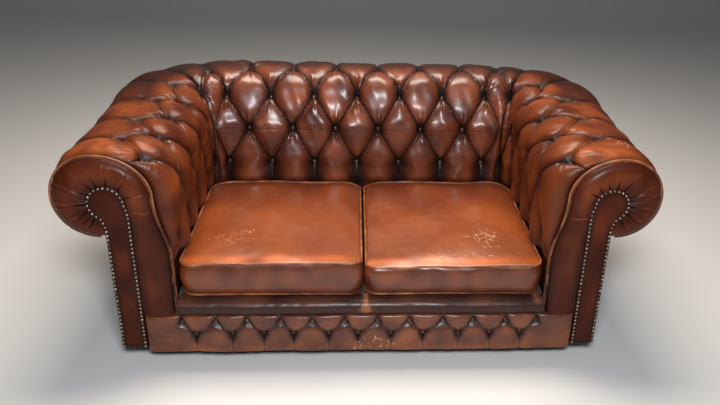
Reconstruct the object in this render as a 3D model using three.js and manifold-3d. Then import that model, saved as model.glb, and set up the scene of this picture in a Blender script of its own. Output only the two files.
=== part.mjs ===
// A two-seat, deep-buttoned sofa with scroll arms: beech frame, zigzag springs, padded arms and back,
// two loose seat cushions, and leather-covered front parts. Millimetres, +Z up, front towards -Y.
// The origin is on the floor under the middle of the sofa's overall box.

import * as THREE from 'three';
import { mergeVertices } from 'three/addons/utils/BufferGeometryUtils.js';
import { RoundedBoxGeometry } from 'three/addons/geometries/RoundedBoxGeometry.js';
import Module from 'manifold-3d';

// ---- Driving dimensions ----

const GAP = 0.4;              // clearance between pieces that touch
const FOOT_HEIGHT = 55;       // floor to the underside of the frame
const FRONT_Y = -458;         // front plane of the scroll fronts
const INNER_X = 540;          // inside face of each arm at the cushions
const BACK_Y = 167;           // inside face of the back at the cushions
const OUTSIDE_U = 160;        // inside face to outside panel, on the arms and the back
const PANEL = 6;              // outside panels: board and leather

const ROLL_U = 175;           // inside face to the middle of the scroll
const ROLL_V = 478;           // frame underside to the middle of the scroll
const ROLL_IN = 140;          // scroll's half width towards the seat
const ROLL_OUT = 114;         // scroll's half width outwards
const ROLL_UP = 113;          // scroll's half height
const ROLL_END = THREE.MathUtils.degToRad(-97.5);
const FACE_TOP = 290;         // height where the inside face starts to lean outwards
const SEAT_V = 158;           // lower edge of the arm and back padding
const PAD_PROUD = 15;         // roll padding outside the line of the boards, on top and outwards
const PAD_INWARD = 35;        // and towards the seat
const PAD_DEPTH = 45;         // roll padding inside that line
const FACE_PAD = 30;          // padding of the inside faces
const RISE = 40;              // the rolls climb this much from the arm fronts to the back
const CORNER_SPREAD = 0.15;   // how far the rolls reach out at the two back corners

const BOARD = 18;             // scroll-shaped arm boards
const FRONT_PAD = 12;         // leather and wadding on the arm boards
const FACING = { inner: 88, head: 148, headHeight: 466, headRadius: 52, edge: 1.2 };

const TIMBER = 36;            // rail and post thickness
const RAIL_BOTTOM = FOOT_HEIGHT + 2;
const RAIL_TOP = 155;
const FRONT_RAIL = 28;
const CROSS_RAIL = { half: 22, height: 60 };
const CORNER_BLOCK = { leg: 70, height: 50, down: 5 };
const TACK_RAIL = { bottom: 214, top: 254, thickness: 24, behind: 6 };
const ARM_TOP_RAIL = { near: 135, far: 195, bottom: 515, top: 550, short: 40 };
const BACK_POST = { inner: 568, top: 530 };
const BACK_TOP_RAIL = { half: 650, depth: 64, height: 40 };

const BORDER = { end: 627, top: 167, bottom: 41, bulge: 20 };
const LIP = { half: 530, front: 10, round: 26 };
const PLATFORM = { half: 536, padding: 24, cloth: 2 };
const CUSHION_BOTTOM = 212;
const CUSHION = { width: 518, depth: 586, height: 112, edge: 18, skin: 2.5 };
const CUSHION_X = 264;
const CUSHION_Y = -145;
const WELT = 4.5;
const ZIP = { width: 380, height: 10 };

const SPRING = { count: 6, pitch: 170, wire: 2, swing: 24, waves: 8, crown: 16, lift: 8 };
const FOOT = { x: 612, front: -338, rear: 259, top: 34, bottom: 25 };

// ---- Finishes ----

const finish = (color, roughness, metalness = 0) =>
  new THREE.MeshStandardMaterial({ color, roughness, metalness });
const leather = finish(0x7a3d1e, 0.42);
const darkLeather = finish(0x54291a, 0.45);
const tanLeather = finish(0xa9592b, 0.4);
const beech = finish(0xc9a271, 0.7);
const plywood = finish(0xb98d5c, 0.75);
const darkWood = finish(0x2b1a12, 0.5);
const springSteel = finish(0x55585c, 0.4, 0.9);
const foam = finish(0xd8cda2, 0.95);
const felt = finish(0x6d675c, 0.95);
const blackCloth = finish(0x161616, 0.9);
const zipBrass = finish(0x8a6b33, 0.4, 0.8);

// ---- Tools ----

const { Manifold, Mesh } = await Module().then((wasm) => {
  wasm.setup();
  return wasm;
});

const sofa = new THREE.Group();

function piece(name, geometry, material) {
  const mesh = new THREE.Mesh(geometry, material);
  mesh.name = name;
  sofa.add(mesh);
  return mesh;
}

function weld(geometry) {
  const bare = geometry.clone();
  bare.deleteAttribute('normal');
  bare.deleteAttribute('uv');
  return mergeVertices(bare, 1e-3);
}

function volume(geometry) {
  const at = geometry.attributes.position;
  const order = geometry.index;
  const corner = [new THREE.Vector3(), new THREE.Vector3(), new THREE.Vector3()];
  let sum = 0;
  for (let i = 0; i < order.count; i += 3) {
    corner.forEach((point, k) => point.fromBufferAttribute(at, order.getX(i + k)));
    sum += corner[0].dot(corner[1].clone().cross(corner[2]));
  }
  return sum / 6;
}

// Moves each vertex by place(point), and turns the faces to point outwards again if that mirrored the mesh.
function shaped(geometry, place) {
  const result = weld(geometry);
  const at = result.attributes.position;
  const point = new THREE.Vector3();
  for (let i = 0; i < at.count; i += 1) {
    point.fromBufferAttribute(at, i);
    place(point);
    at.setXYZ(i, point.x, point.y, point.z);
  }
  if (volume(result) < 0) {
    result.index.array.reverse();
  }
  return result;
}

function asSolid(geometry) {
  const merged = weld(geometry);
  return new Manifold(new Mesh({
    numProp: 3,
    vertProperties: new Float32Array(merged.attributes.position.array),
    triVerts: new Uint32Array(merged.index.array),
  }));
}

function asGeometry(solid) {
  const mesh = solid.getMesh();
  const result = new THREE.BufferGeometry();
  result.setAttribute('position', new THREE.BufferAttribute(mesh.vertProperties, 3));
  result.setIndex(new THREE.BufferAttribute(mesh.triVerts, 1));
  return result;
}

function timber(name, low, high, material = beech) {
  const size = high.map((value, axis) => value - low[axis]);
  const mesh = piece(name, new THREE.BoxGeometry(...size), material);
  mesh.position.set(...low.map((value, axis) => (value + high[axis]) / 2));
  return mesh;
}

// A section drawn in (y, z) and run along x from -half to half.
function runAcross(shape, half) {
  const flat = new THREE.ExtrudeGeometry(shape, { depth: 1, bevelEnabled: false, curveSegments: 6 });
  return shaped(flat, (p) => p.set((p.z * 2 - 1) * half, p.x, p.y));
}

// A front-view outline in (x, z), with its front face at y and thickness behind it.
function frontPlate(shape, y, thickness, bevel = 0) {
  const flat = new THREE.ExtrudeGeometry(shape, {
    depth: thickness - 2 * bevel,
    bevelEnabled: bevel > 0,
    bevelThickness: bevel,
    bevelSize: bevel,
    bevelOffset: -bevel,
    bevelSegments: 1,
    curveSegments: 7,
  });
  return shaped(flat, (p) => p.set(p.x, y + bevel + p.z, p.y));
}

const mirrored = (geometry, side) => shaped(geometry, (p) => p.setX(side * p.x));
const sides = [['left', -1], ['right', 1]];

// ---- Section of the arms and the back ----

// The line from the seat up the inside face and round the scroll to its underside, in (u, v):
// u runs outwards from the inside face, v runs up from the frame's underside.
function scrollLine(path, faceShift, grow, inward = grow, lowest = SEAT_V, end = ROLL_END) {
  const innermost = ROLL_U - ROLL_IN - inward;
  path.moveTo(faceShift, lowest);
  path.lineTo(faceShift, FACE_TOP);
  path.bezierCurveTo(faceShift, FACE_TOP + 70, innermost, ROLL_V - 78, innermost, ROLL_V);
  path.absellipse(ROLL_U, ROLL_V, ROLL_IN + inward, ROLL_UP + grow, Math.PI, Math.PI / 2, true);
  path.absellipse(ROLL_U, ROLL_V, ROLL_OUT + grow, ROLL_UP + grow, Math.PI / 2, end, true);
  return path;
}

function withoutRepeats(points) {
  return points.filter((point, i) => i === 0 || point.distanceTo(points[i - 1]) > 0.01);
}

function paddingSection() {
  const outer = withoutRepeats(scrollLine(new THREE.Path(), 0, PAD_PROUD, PAD_INWARD).getPoints(7));
  const inner = withoutRepeats(scrollLine(new THREE.Path(), FACE_PAD, -PAD_DEPTH).getPoints(5));
  return new THREE.Shape([...outer, ...inner.reverse()]);
}

// The section turns each back corner about the upright line where the inside faces meet.
function cornerReach(turn) {
  return 1 + CORNER_SPREAD * Math.sin(2 * turn);
}

function placeOnArm(side) {
  const start = FRONT_Y + FRONT_PAD + BOARD + 2 * GAP;
  const end = BACK_Y - GAP;
  return (p) => {
    const [u, v] = [p.x, p.y];
    const straight = Math.min(p.z * 3, 1);
    const turn = Math.max(p.z * 3 - 1, 0) * Math.PI / 8;
    const reach = u * cornerReach(turn);
    const x = side * (INNER_X + reach * Math.cos(turn));
    const y = start + straight * (end - start) + reach * Math.sin(turn);
    p.set(x, y, FOOT_HEIGHT + v + RISE * straight);
  };
}

function placeOnBack(p) {
  const [u, v] = [p.x, p.y];
  const across = p.z * 6 - 3;
  const straight = THREE.MathUtils.clamp(across, -1, 1);
  const turn = Math.max(Math.abs(across) - 1, 0) * Math.PI / 8;
  const reach = u * cornerReach(turn);
  const x = straight * INNER_X + Math.sign(across) * reach * Math.sin(turn);
  p.set(x, BACK_Y + reach * Math.cos(turn), FOOT_HEIGHT + v + RISE);
}

for (const [side, sign] of sides) {
  const run = new THREE.ExtrudeGeometry(paddingSection(), { depth: 1, steps: 3, bevelEnabled: false });
  piece(`${side}_arm_upholstery`, shaped(run, placeOnArm(sign)), leather);
}
const backRun = new THREE.ExtrudeGeometry(paddingSection(), { depth: 1, steps: 6, bevelEnabled: false });
piece('back_upholstery', shaped(backRun, placeOnBack), leather);

// ---- Arm fronts: scroll board, padded front, nailed facing, piping ----

const atArm = (u) => INNER_X + u;
const boardY = FRONT_Y + FRONT_PAD + GAP;

function armOutline(lowest, outside) {
  const edge = scrollLine(new THREE.Path(), 0, 0, 0, lowest).getPoints(9);
  const points = withoutRepeats(edge).map((p) => new THREE.Vector2(atArm(p.x), FOOT_HEIGHT + p.y));
  points.push(new THREE.Vector2(outside, FOOT_HEIGHT + ROLL_V - ROLL_UP + 4));
  return points;
}

function boardShape() {
  const outside = atArm(OUTSIDE_U - PANEL - GAP);
  const points = armOutline(RAIL_BOTTOM - FOOT_HEIGHT, outside);
  points.push(new THREE.Vector2(outside, RAIL_BOTTOM));
  return new THREE.Shape(points);
}

function paddedFrontShape() {
  const outside = atArm(OUTSIDE_U);
  const step = BORDER.end + 1;
  const points = armOutline(BORDER.top + 1 - FOOT_HEIGHT, outside);
  points.push(new THREE.Vector2(outside, FOOT_HEIGHT), new THREE.Vector2(step, FOOT_HEIGHT));
  points.push(new THREE.Vector2(step, BORDER.top + 1));
  return new THREE.Shape(points);
}

function facingShape() {
  const radius = FACING.headRadius;
  const head = { x: atArm(FACING.head), z: FOOT_HEIGHT + FACING.headHeight };
  const inner = atArm(FACING.inner);
  const outer = atArm(OUTSIDE_U);
  const shape = new THREE.Shape();
  shape.moveTo(inner, FOOT_HEIGHT);
  shape.lineTo(inner, head.z - 40);
  shape.quadraticCurveTo(inner, head.z - 10, head.x - radius, head.z);
  shape.absarc(head.x, head.z, radius, Math.PI, -Math.PI * 0.36, true);
  shape.quadraticCurveTo(outer, head.z - radius, outer, head.z - 90);
  shape.lineTo(outer, FOOT_HEIGHT);
  shape.closePath();
  return shape;
}

function pipingLine() {
  const away = WELT + 2 * GAP;
  const end = ROLL_END + THREE.MathUtils.degToRad(6);
  const line = scrollLine(new THREE.Path(), -away, away, away, BORDER.top + 1 - FOOT_HEIGHT, end);
  const y = boardY + WELT / 2;
  const points = withoutRepeats(line.getPoints(8));
  return new THREE.CatmullRomCurve3(
    points.map((p) => new THREE.Vector3(atArm(p.x), y, FOOT_HEIGHT + p.y)), false, 'centripetal');
}

function round(radius, count) {
  const ring = new THREE.Shape();
  ring.absarc(0, 0, radius, 0, 2 * Math.PI, false);
  return new THREE.Shape(withoutRepeats(ring.getSpacedPoints(count).slice(0, count)));
}

const cord = new THREE.ExtrudeGeometry(
  round(WELT, 7), { steps: 34, bevelEnabled: false, extrudePath: pipingLine() });

for (const [side, sign] of sides) {
  piece(`${side}_arm_front_board`, mirrored(frontPlate(boardShape(), boardY, BOARD), sign), plywood);
  const padded = frontPlate(paddedFrontShape(), FRONT_Y, FRONT_PAD, 3);
  piece(`${side}_scroll_front`, mirrored(padded, sign), leather);
  const facing = frontPlate(facingShape(), FRONT_Y - PANEL - GAP, PANEL, FACING.edge);
  piece(`${side}_facing`, mirrored(facing, sign), darkLeather);
  piece(`${side}_arm_piping`, mirrored(cord, sign), tanLeather);
}

// ---- Base frame ----

const innerFrontY = boardY + BOARD + GAP;
const railOuterX = atArm(OUTSIDE_U - PANEL - GAP);
const railInnerX = railOuterX - TIMBER;
const backOuterY = BACK_Y + OUTSIDE_U - PANEL - GAP;
const backInnerY = backOuterY - TIMBER;
const frontRailBack = boardY + FRONT_RAIL;
const ordered = (a, b) => [Math.min(a, b), Math.max(a, b)];

timber('front_rail', [-INNER_X + GAP, boardY, RAIL_BOTTOM], [INNER_X - GAP, frontRailBack, RAIL_TOP]);
timber('back_rail', [-railOuterX, backInnerY, RAIL_BOTTOM], [railOuterX, backOuterY, RAIL_TOP]);
for (const [side, sign] of sides) {
  const [low, high] = ordered(sign * railInnerX, sign * railOuterX);
  timber(`${side}_side_rail`, [low, innerFrontY, RAIL_BOTTOM], [high, backInnerY - GAP, RAIL_TOP]);
}
timber('centre_cross_rail',
  [-CROSS_RAIL.half, frontRailBack + GAP, RAIL_BOTTOM],
  [CROSS_RAIL.half, backInnerY - GAP, RAIL_BOTTOM + CROSS_RAIL.height]);

function cornerBlock(sign, end) {
  const { leg, height, down } = CORNER_BLOCK;
  const x = sign * (railInnerX - GAP);
  const y = end > 0 ? backInnerY - GAP : innerFrontY;
  const shape = new THREE.Shape([
    new THREE.Vector2(x, y),
    new THREE.Vector2(x - sign * leg, y),
    new THREE.Vector2(x, y - end * leg),
  ]);
  const flat = new THREE.ExtrudeGeometry(shape, { depth: height, bevelEnabled: false });
  return shaped(flat, (p) => p.setZ(p.z + RAIL_TOP - down - height));
}

for (const [end, sign] of [['front', -1], ['rear', 1]]) {
  for (const [side, across] of sides) {
    piece(`${end}_${side}_corner_block`, cornerBlock(across, sign), beech);
  }
}

// ---- Arm and back timbers ----

const tackNear = FACE_PAD + TACK_RAIL.behind;
const tackFar = tackNear + TACK_RAIL.thickness;

function upright(name, low, high) {
  timber(name, [low, backInnerY, RAIL_TOP + GAP], [high, backOuterY, BACK_POST.top]);
}

for (const [side, sign] of sides) {
  const top = ordered(sign * atArm(ARM_TOP_RAIL.near), sign * atArm(ARM_TOP_RAIL.far));
  timber(`${side}_arm_top_rail`,
    [top[0], innerFrontY, ARM_TOP_RAIL.bottom],
    [top[1], backInnerY - ARM_TOP_RAIL.short, ARM_TOP_RAIL.top]);
  const tack = ordered(sign * atArm(tackNear), sign * atArm(tackFar));
  timber(`${side}_arm_tack_rail`,
    [tack[0], innerFrontY, TACK_RAIL.bottom],
    [tack[1], BACK_Y + FACE_PAD, TACK_RAIL.top]);
  upright(`${side}_back_post`, ...ordered(sign * BACK_POST.inner, sign * (BACK_POST.inner + TIMBER)));
}
upright('back_centre_post', -TIMBER / 2, TIMBER / 2);
timber('back_top_rail',
  [-BACK_TOP_RAIL.half, backInnerY, BACK_POST.top + GAP],
  [BACK_TOP_RAIL.half, backInnerY + BACK_TOP_RAIL.depth, BACK_POST.top + BACK_TOP_RAIL.height]);
const backTackHalf = INNER_X + FACE_PAD - 10;
timber('back_tack_rail',
  [-backTackHalf, BACK_Y + tackNear + 2, TACK_RAIL.bottom],
  [backTackHalf, BACK_Y + tackFar + 2, TACK_RAIL.top]);

// ---- Springs, seat platform, front lip and buttoned border ----

const springStart = frontRailBack + SPRING.wire + GAP;
const springEnd = backInnerY - SPRING.wire - GAP;

function springLine(x) {
  const steps = SPRING.waves * 5;
  const points = [];
  for (let i = 0; i <= steps; i += 1) {
    const t = i / steps;
    const swing = SPRING.swing * Math.sin(2 * Math.PI * SPRING.waves * t);
    const y = THREE.MathUtils.lerp(springStart, springEnd, t);
    const z = RAIL_TOP + SPRING.lift + SPRING.crown * Math.sin(Math.PI * t);
    points.push(new THREE.Vector3(x + swing, y, z));
  }
  return new THREE.CatmullRomCurve3(points);
}

for (let i = 0; i < SPRING.count; i += 1) {
  const x = (i - (SPRING.count - 1) / 2) * SPRING.pitch;
  const wire = { steps: SPRING.waves * 5, bevelEnabled: false, extrudePath: springLine(x) };
  piece(`seat_spring_${i + 1}`, new THREE.ExtrudeGeometry(round(SPRING.wire, 5), wire), springSteel);
}

const padTop = CUSHION_BOTTOM - GAP;
const padBottom = padTop - PLATFORM.padding;
timber('seat_padding',
  [-PLATFORM.half, frontRailBack + GAP, padBottom],
  [PLATFORM.half, BACK_Y - GAP, padTop], felt);
timber('platform_cloth',
  [-PLATFORM.half, frontRailBack + GAP, padBottom - GAP - PLATFORM.cloth],
  [PLATFORM.half, BACK_Y - GAP, padBottom - GAP], blackCloth);

const lipFront = FRONT_Y - LIP.front;
const lipShape = new THREE.Shape();
lipShape.moveTo(frontRailBack, RAIL_TOP + GAP);
lipShape.lineTo(frontRailBack, padTop);
lipShape.lineTo(lipFront + LIP.round, padTop);
lipShape.quadraticCurveTo(lipFront, padTop, lipFront, padTop - LIP.round);
lipShape.lineTo(FRONT_Y - 4, BORDER.top + GAP);
lipShape.lineTo(boardY, BORDER.top + GAP);
lipShape.lineTo(boardY, RAIL_TOP + GAP);
lipShape.closePath();
piece('front_lip', runAcross(lipShape, LIP.half), darkLeather);

const borderBack = boardY - GAP;
const borderFront = FRONT_Y - BORDER.bulge;
const borderShape = new THREE.Shape();
borderShape.moveTo(borderBack, BORDER.bottom + 6);
borderShape.lineTo(borderBack, BORDER.top);
borderShape.lineTo(FRONT_Y, BORDER.top);
borderShape.bezierCurveTo(
  borderFront, BORDER.top - 4, borderFront, BORDER.top - 24, borderFront, BORDER.top - 40);
borderShape.lineTo(borderFront, BORDER.bottom + 26);
borderShape.quadraticCurveTo(borderFront, BORDER.bottom, FRONT_Y - 2, BORDER.bottom);
borderShape.closePath();
piece('buttoned_border', runAcross(borderShape, BORDER.end), leather);

// ---- Outside panels and dust cover ----

const panelTop = FOOT_HEIGHT + ROLL_V - ROLL_UP - PAD_PROUD - 4;

function outsideArmShape() {
  const front = boardY;
  const rear = BACK_Y + OUTSIDE_U;
  return new THREE.Shape([
    new THREE.Vector2(front, FOOT_HEIGHT),
    new THREE.Vector2(rear, FOOT_HEIGHT),
    new THREE.Vector2(rear, panelTop + RISE),
    new THREE.Vector2(BACK_Y, panelTop + RISE),
    new THREE.Vector2(front, panelTop),
  ]);
}

for (const [side, sign] of sides) {
  const flat = new THREE.ExtrudeGeometry(outsideArmShape(), { depth: PANEL, bevelEnabled: false });
  const inside = atArm(OUTSIDE_U - PANEL);
  const panel = shaped(flat, (p) => p.set(sign * (inside + p.z), p.x, p.y));
  piece(`${side}_outside_panel`, panel, darkLeather);
}
timber('outside_back_panel',
  [-railOuterX, backOuterY + GAP, FOOT_HEIGHT],
  [railOuterX, BACK_Y + OUTSIDE_U, panelTop + RISE], darkLeather);
timber('dust_cover',
  [-railOuterX, boardY, FOOT_HEIGHT],
  [railOuterX, backOuterY, RAIL_BOTTOM - GAP], blackCloth);

// ---- Feet ----

const footProfile = [
  new THREE.Vector2(0, 0),
  new THREE.Vector2(FOOT.bottom - 2, 0),
  new THREE.Vector2(FOOT.bottom, 2),
  new THREE.Vector2(FOOT.top, FOOT_HEIGHT - 12),
  new THREE.Vector2(FOOT.top, FOOT_HEIGHT - GAP),
  new THREE.Vector2(0, FOOT_HEIGHT - GAP),
];
for (const [end, y] of [['front', FOOT.front], ['rear', FOOT.rear]]) {
  for (const [side, sign] of sides) {
    const turned = new THREE.LatheGeometry(footProfile, 20);
    const foot = piece(`${end}_${side}_foot`, shaped(turned, (p) => p.set(p.x, -p.z, p.y)), darkWood);
    foot.position.set(sign * FOOT.x, y, 0);
  }
}

// ---- Seat cushions: cover with a zip at the back, foam core, two welts ----

// A rounded slab, centred on x and y, with the cover's underside at z = 0.
function slab(shrink) {
  const { width, depth, height, edge } = CUSHION;
  const [w, d, h] = [width, depth, height].map((size) => size - 2 * shrink);
  return weld(new RoundedBoxGeometry(w, d, h, 2, edge - shrink).translate(0, 0, height / 2));
}

function coverSolid() {
  const slot = new THREE.BoxGeometry(ZIP.width, 30, ZIP.height);
  slot.translate(0, CUSHION.depth / 2, CUSHION.height / 2);
  return asSolid(slab(0)).subtract(asSolid(slab(CUSHION.skin))).subtract(asSolid(slot));
}

function zipSolid() {
  const y = CUSHION.depth / 2 - CUSHION.skin / 2;
  const tape = new THREE.BoxGeometry(ZIP.width - 2 * GAP, CUSHION.skin - 1, ZIP.height - 2 * GAP);
  tape.translate(0, y, CUSHION.height / 2);
  const slider = new THREE.BoxGeometry(12, 4, 7);
  slider.translate(ZIP.width / 2 - 14, y + 2, CUSHION.height / 2);
  return asSolid(tape).add(asSolid(slider));
}

// A closed cord round the cushion's edge: five stations on each corner, straight between the corners.
function weltRing(z) {
  const stations = 20;
  const large = 1000;
  const ring = new THREE.TorusGeometry(large, WELT, 6, stations);
  const away = (WELT + GAP + CUSHION.edge) * Math.SQRT1_2 - CUSHION.edge;
  const straight = { x: CUSHION.width / 2 - CUSHION.edge, y: CUSHION.depth / 2 - CUSHION.edge };
  return shaped(ring, (p) => {
    const turn = Math.atan2(p.y, p.x) / (2 * Math.PI);
    const station = (Math.round(turn * stations) + stations) % stations;
    const quarter = Math.floor(station / 5);
    const angle = (quarter + (station % 5) / 4) * Math.PI / 2;
    const reach = CUSHION.edge + away + Math.hypot(p.x, p.y) - large;
    const signX = quarter === 0 || quarter === 3 ? 1 : -1;
    const signY = quarter < 2 ? 1 : -1;
    p.x = signX * straight.x + reach * Math.cos(angle);
    p.y = signY * straight.y + reach * Math.sin(angle);
    p.z += z;
  });
}

const coverGeometry = asGeometry(coverSolid());
const zipGeometry = asGeometry(zipSolid());
const seam = CUSHION.edge - (WELT + GAP + CUSHION.edge) * Math.SQRT1_2;
const cushionZ = CUSHION_BOTTOM + WELT - seam;
for (const [side, sign] of sides) {
  const put = (name, geometry, material) => {
    const mesh = piece(`${side}_cushion_${name}`, geometry, material);
    mesh.position.set(sign * CUSHION_X, CUSHION_Y, cushionZ);
  };
  put('cover', coverGeometry, tanLeather);
  put('core', slab(CUSHION.skin + GAP), foam);
  put('zip', zipGeometry, zipBrass);
  put('top_welt', weltRing(CUSHION.height - seam), tanLeather);
  put('bottom_welt', weltRing(seam), tanLeather);
}

export default sofa;
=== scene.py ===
"""A worn, deep-buttoned leather sofa with scroll arms and two loose seat cushions, built piece by piece
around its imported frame. Metres, +Z up, the front towards -Y, the floor at z = 0."""

import math

import bpy
import numpy as np
from mathutils import Euler, Matrix, Vector


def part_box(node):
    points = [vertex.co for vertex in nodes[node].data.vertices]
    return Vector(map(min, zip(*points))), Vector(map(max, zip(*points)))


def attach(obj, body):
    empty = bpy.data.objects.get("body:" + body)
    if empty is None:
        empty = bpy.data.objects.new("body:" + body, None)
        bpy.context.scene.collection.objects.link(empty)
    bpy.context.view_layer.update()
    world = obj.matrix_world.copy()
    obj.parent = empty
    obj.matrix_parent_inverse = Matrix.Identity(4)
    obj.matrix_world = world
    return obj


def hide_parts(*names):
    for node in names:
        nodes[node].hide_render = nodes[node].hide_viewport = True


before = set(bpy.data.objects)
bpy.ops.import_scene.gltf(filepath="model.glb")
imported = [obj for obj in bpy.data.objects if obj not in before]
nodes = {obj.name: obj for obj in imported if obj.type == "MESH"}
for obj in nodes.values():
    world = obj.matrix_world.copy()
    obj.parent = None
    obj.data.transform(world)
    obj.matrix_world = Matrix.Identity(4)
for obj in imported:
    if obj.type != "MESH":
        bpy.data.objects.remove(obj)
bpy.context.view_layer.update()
bpy.ops.object.select_all(action="DESELECT")


# ---- Room: camera, floor and light ----
# The sofa stands in a plain studio: a pale floor that rises behind it, a wide warm light overhead, a little
# behind the seat, a small cool one in front, and faint pale air all round.

def stand(name, data):
    """Puts a new object with this data in the scene."""
    thing = bpy.data.objects.new(name, data)
    bpy.context.scene.collection.objects.link(thing)
    return thing


eye = stand("camera", bpy.data.cameras.new("camera"))
eye_place = (-0.033, -2.260, 1.379)
look_down, look_right, roll = 25.228, 4.432, 2.119
aim = Euler((math.radians(90 - look_down), 0, math.radians(-look_right))).to_matrix()
aim = (aim @ Matrix.Rotation(math.radians(roll), 3, "Z")).to_4x4()
eye.matrix_world = Matrix.Translation(eye_place) @ aim
eye.data.sensor_width = 36
eye.data.lens = 36.615
eye.data.shift_x = -0.061
bpy.context.scene.camera = eye
bpy.context.scene.view_settings.view_transform = "Standard"


def edit_all():
    """Opens the active piece in edit mode, all selected."""
    bpy.ops.object.mode_set(mode="EDIT")
    bpy.ops.mesh.select_all(action="SELECT")


def stop_editing():
    bpy.ops.object.mode_set(mode="OBJECT")


floor_size, wall_height, wall_bend = 14, 5, 2.5
bpy.ops.mesh.primitive_plane_add(size=floor_size, location=(0, 0, 0))
floor = bpy.context.active_object
floor.name = "floor"
bpy.ops.object.mode_set(mode="EDIT")
bpy.ops.mesh.select_mode(type="EDGE")
bpy.ops.mesh.select_all(action="DESELECT")
stop_editing()
for edge in floor.data.edges:
    edge.select = all(floor.data.vertices[v].co.y > floor_size / 2 - 1 for v in edge.vertices)
bpy.ops.object.mode_set(mode="EDIT")
bpy.ops.mesh.extrude_region_move(TRANSFORM_OT_translate={"value": (0, 0, wall_height)})
bpy.ops.mesh.select_all(action="SELECT")
bpy.ops.mesh.normals_make_consistent(inside=False)
stop_editing()
bend = floor.modifiers.new("bend", "BEVEL")
bend.width = wall_bend
bend.segments = 24
bpy.ops.object.modifier_apply(modifier="bend")
bpy.ops.object.shade_smooth()


def new_finish(name):
    """A material and its tree, with the shader ready to be fed."""
    finish = bpy.data.materials.new(name)
    finish.use_nodes = True
    return finish, finish.node_tree, finish.node_tree.nodes["Principled BSDF"]


def put(tree, kind, feeds=None, **settings):
    """Adds a node; feeds gives its inputs, by name or number, a value or another node's outlet."""
    node = tree.nodes.new("ShaderNode" + kind if not kind.startswith("NodeGroup") else kind)
    for name, value in settings.items():
        setattr(node, name, value)
    for name, value in (feeds or {}).items():
        if isinstance(value, bpy.types.NodeSocket):
            tree.links.new(value, node.inputs[name])
        else:
            node.inputs[name].default_value = value
    return node


def two_tints(tree, source, first, last, spread=(0, 1)):
    """Turns a pattern into a colour between two."""
    tint = put(tree, "ValToRGB", {"Fac": source})
    for stop, place, colour in zip(tint.color_ramp.elements, spread, (first, last)):
        stop.position = place
        stop.color = (*colour, 1)
    return tint.outputs["Color"]


floor_paint, tree, shader = new_finish("pale_floor_paint")
wash = put(tree, "TexNoise", {"Scale": 1.3}).outputs["Fac"]
tree.links.new(two_tints(tree, wash, (0.60, 0.59, 0.575), (0.66, 0.65, 0.635)), shader.inputs["Base Color"])
shader.inputs["Roughness"].default_value = 0.75
floor.data.materials.append(floor_paint)

air = bpy.data.worlds.new("studio_air")
air.use_nodes = True
air.node_tree.nodes["Background"].inputs["Color"].default_value = (0.92, 0.94, 1.0, 1)
air.node_tree.nodes["Background"].inputs["Strength"].default_value = 0.09
bpy.context.scene.world = air


def soft_light(name, place, target, width, depth, power, colour):
    lamp = stand(name, bpy.data.lights.new(name, "AREA"))
    lamp.data.shape = "RECTANGLE"
    lamp.data.size, lamp.data.size_y = width, depth
    lamp.data.energy = power
    lamp.data.color = colour
    lamp.location = place
    lamp.rotation_euler = (Vector(target) - Vector(place)).to_track_quat("-Z", "Y").to_euler()


soft_light("front_light", (0.05, -2.35, 1.95), (0, 0.0, 0.4), 0.7, 0.45, 68, (0.92, 0.96, 1.0))
soft_light("overhead_light", (0.0, 0.42, 2.65), (0, -0.1, 0.4), 1.6, 1.0, 84, (1.0, 0.90, 0.78))


# ---- Frame timbers ----
# The rails, posts and blocks are sawn beech, glued and screwed; the scroll-shaped arm boards are cut from
# thick plywood. All of it is hidden by the covers, so their shapes are the frame's own.

def new_group(name, gives, **takes):
    """A group of nodes with named sockets, its inputs' outlets, and the place on the piece."""
    group = bpy.data.node_groups.new(name, "ShaderNodeTree")
    for way, sockets in (("INPUT", takes), ("OUTPUT", gives)):
        for socket, kind in sockets.items():
            group.interface.new_socket(socket, in_out=way, socket_type="NodeSocket" + kind)
    return group, put(group, "NodeGroupInput").outputs, put(group, "TexCoord").outputs["Object"]


surface = {"Color": "Color", "Roughness": "Float", "Height": "Float"}


def noise(tree, place, scale, detail=2.0, roughness=0.5):
    return put(tree, "TexNoise", {"Vector": place, "Scale": scale, "Detail": detail,
                                  "Roughness": roughness}).outputs["Fac"]


def stretch(tree, source, low, high, to_low=0.0, to_high=1.0, ease="LINEAR"):
    """Stretches the values from low to high."""
    return put(tree, "MapRange", {"Value": source, "From Min": low, "From Max": high, "To Min": to_low,
                                  "To Max": to_high}, interpolation_type=ease).outputs["Result"]


def work(tree, operation, first, second, clamp=False):
    return put(tree, "Math", {0: first, 1: second}, operation=operation, use_clamp=clamp).outputs["Value"]


def mix(tree, factor, first, second):
    return put(tree, "Mix", {"Factor": factor, "A": first, "B": second}, data_type="RGBA").outputs["Result"]


def wood_group():
    """Streaks along the board."""
    group, given, place = new_group("sawn_wood", surface, Early="Color", Late="Color", Length="Vector",
                                    Scale="Float")
    along = put(group, "VectorMath", {0: place, 1: given["Length"]}, operation="MULTIPLY").outputs["Vector"]
    streak = noise(group, along, given["Scale"], 6.0, 0.6)
    colour = mix(group, stretch(group, streak, 0.35, 0.65), given["Early"], given["Late"])
    rough = stretch(group, streak, 0.0, 1.0, 0.62, 0.8)
    put(group, "NodeGroupOutput", {"Color": colour, "Roughness": rough, "Height": streak})
    return group


def feed(tree, shader, source, depth, strength=0.5):
    """Joins a group's colour, roughness and height to the shader."""
    bump = put(tree, "Bump", {"Height": source.outputs["Height"], "Distance": depth, "Strength": strength})
    tree.links.new(source.outputs["Color"], shader.inputs["Base Color"])
    tree.links.new(source.outputs["Roughness"], shader.inputs["Roughness"])
    tree.links.new(bump.outputs["Normal"], shader.inputs["Normal"])


sawn_wood = wood_group()


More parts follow.
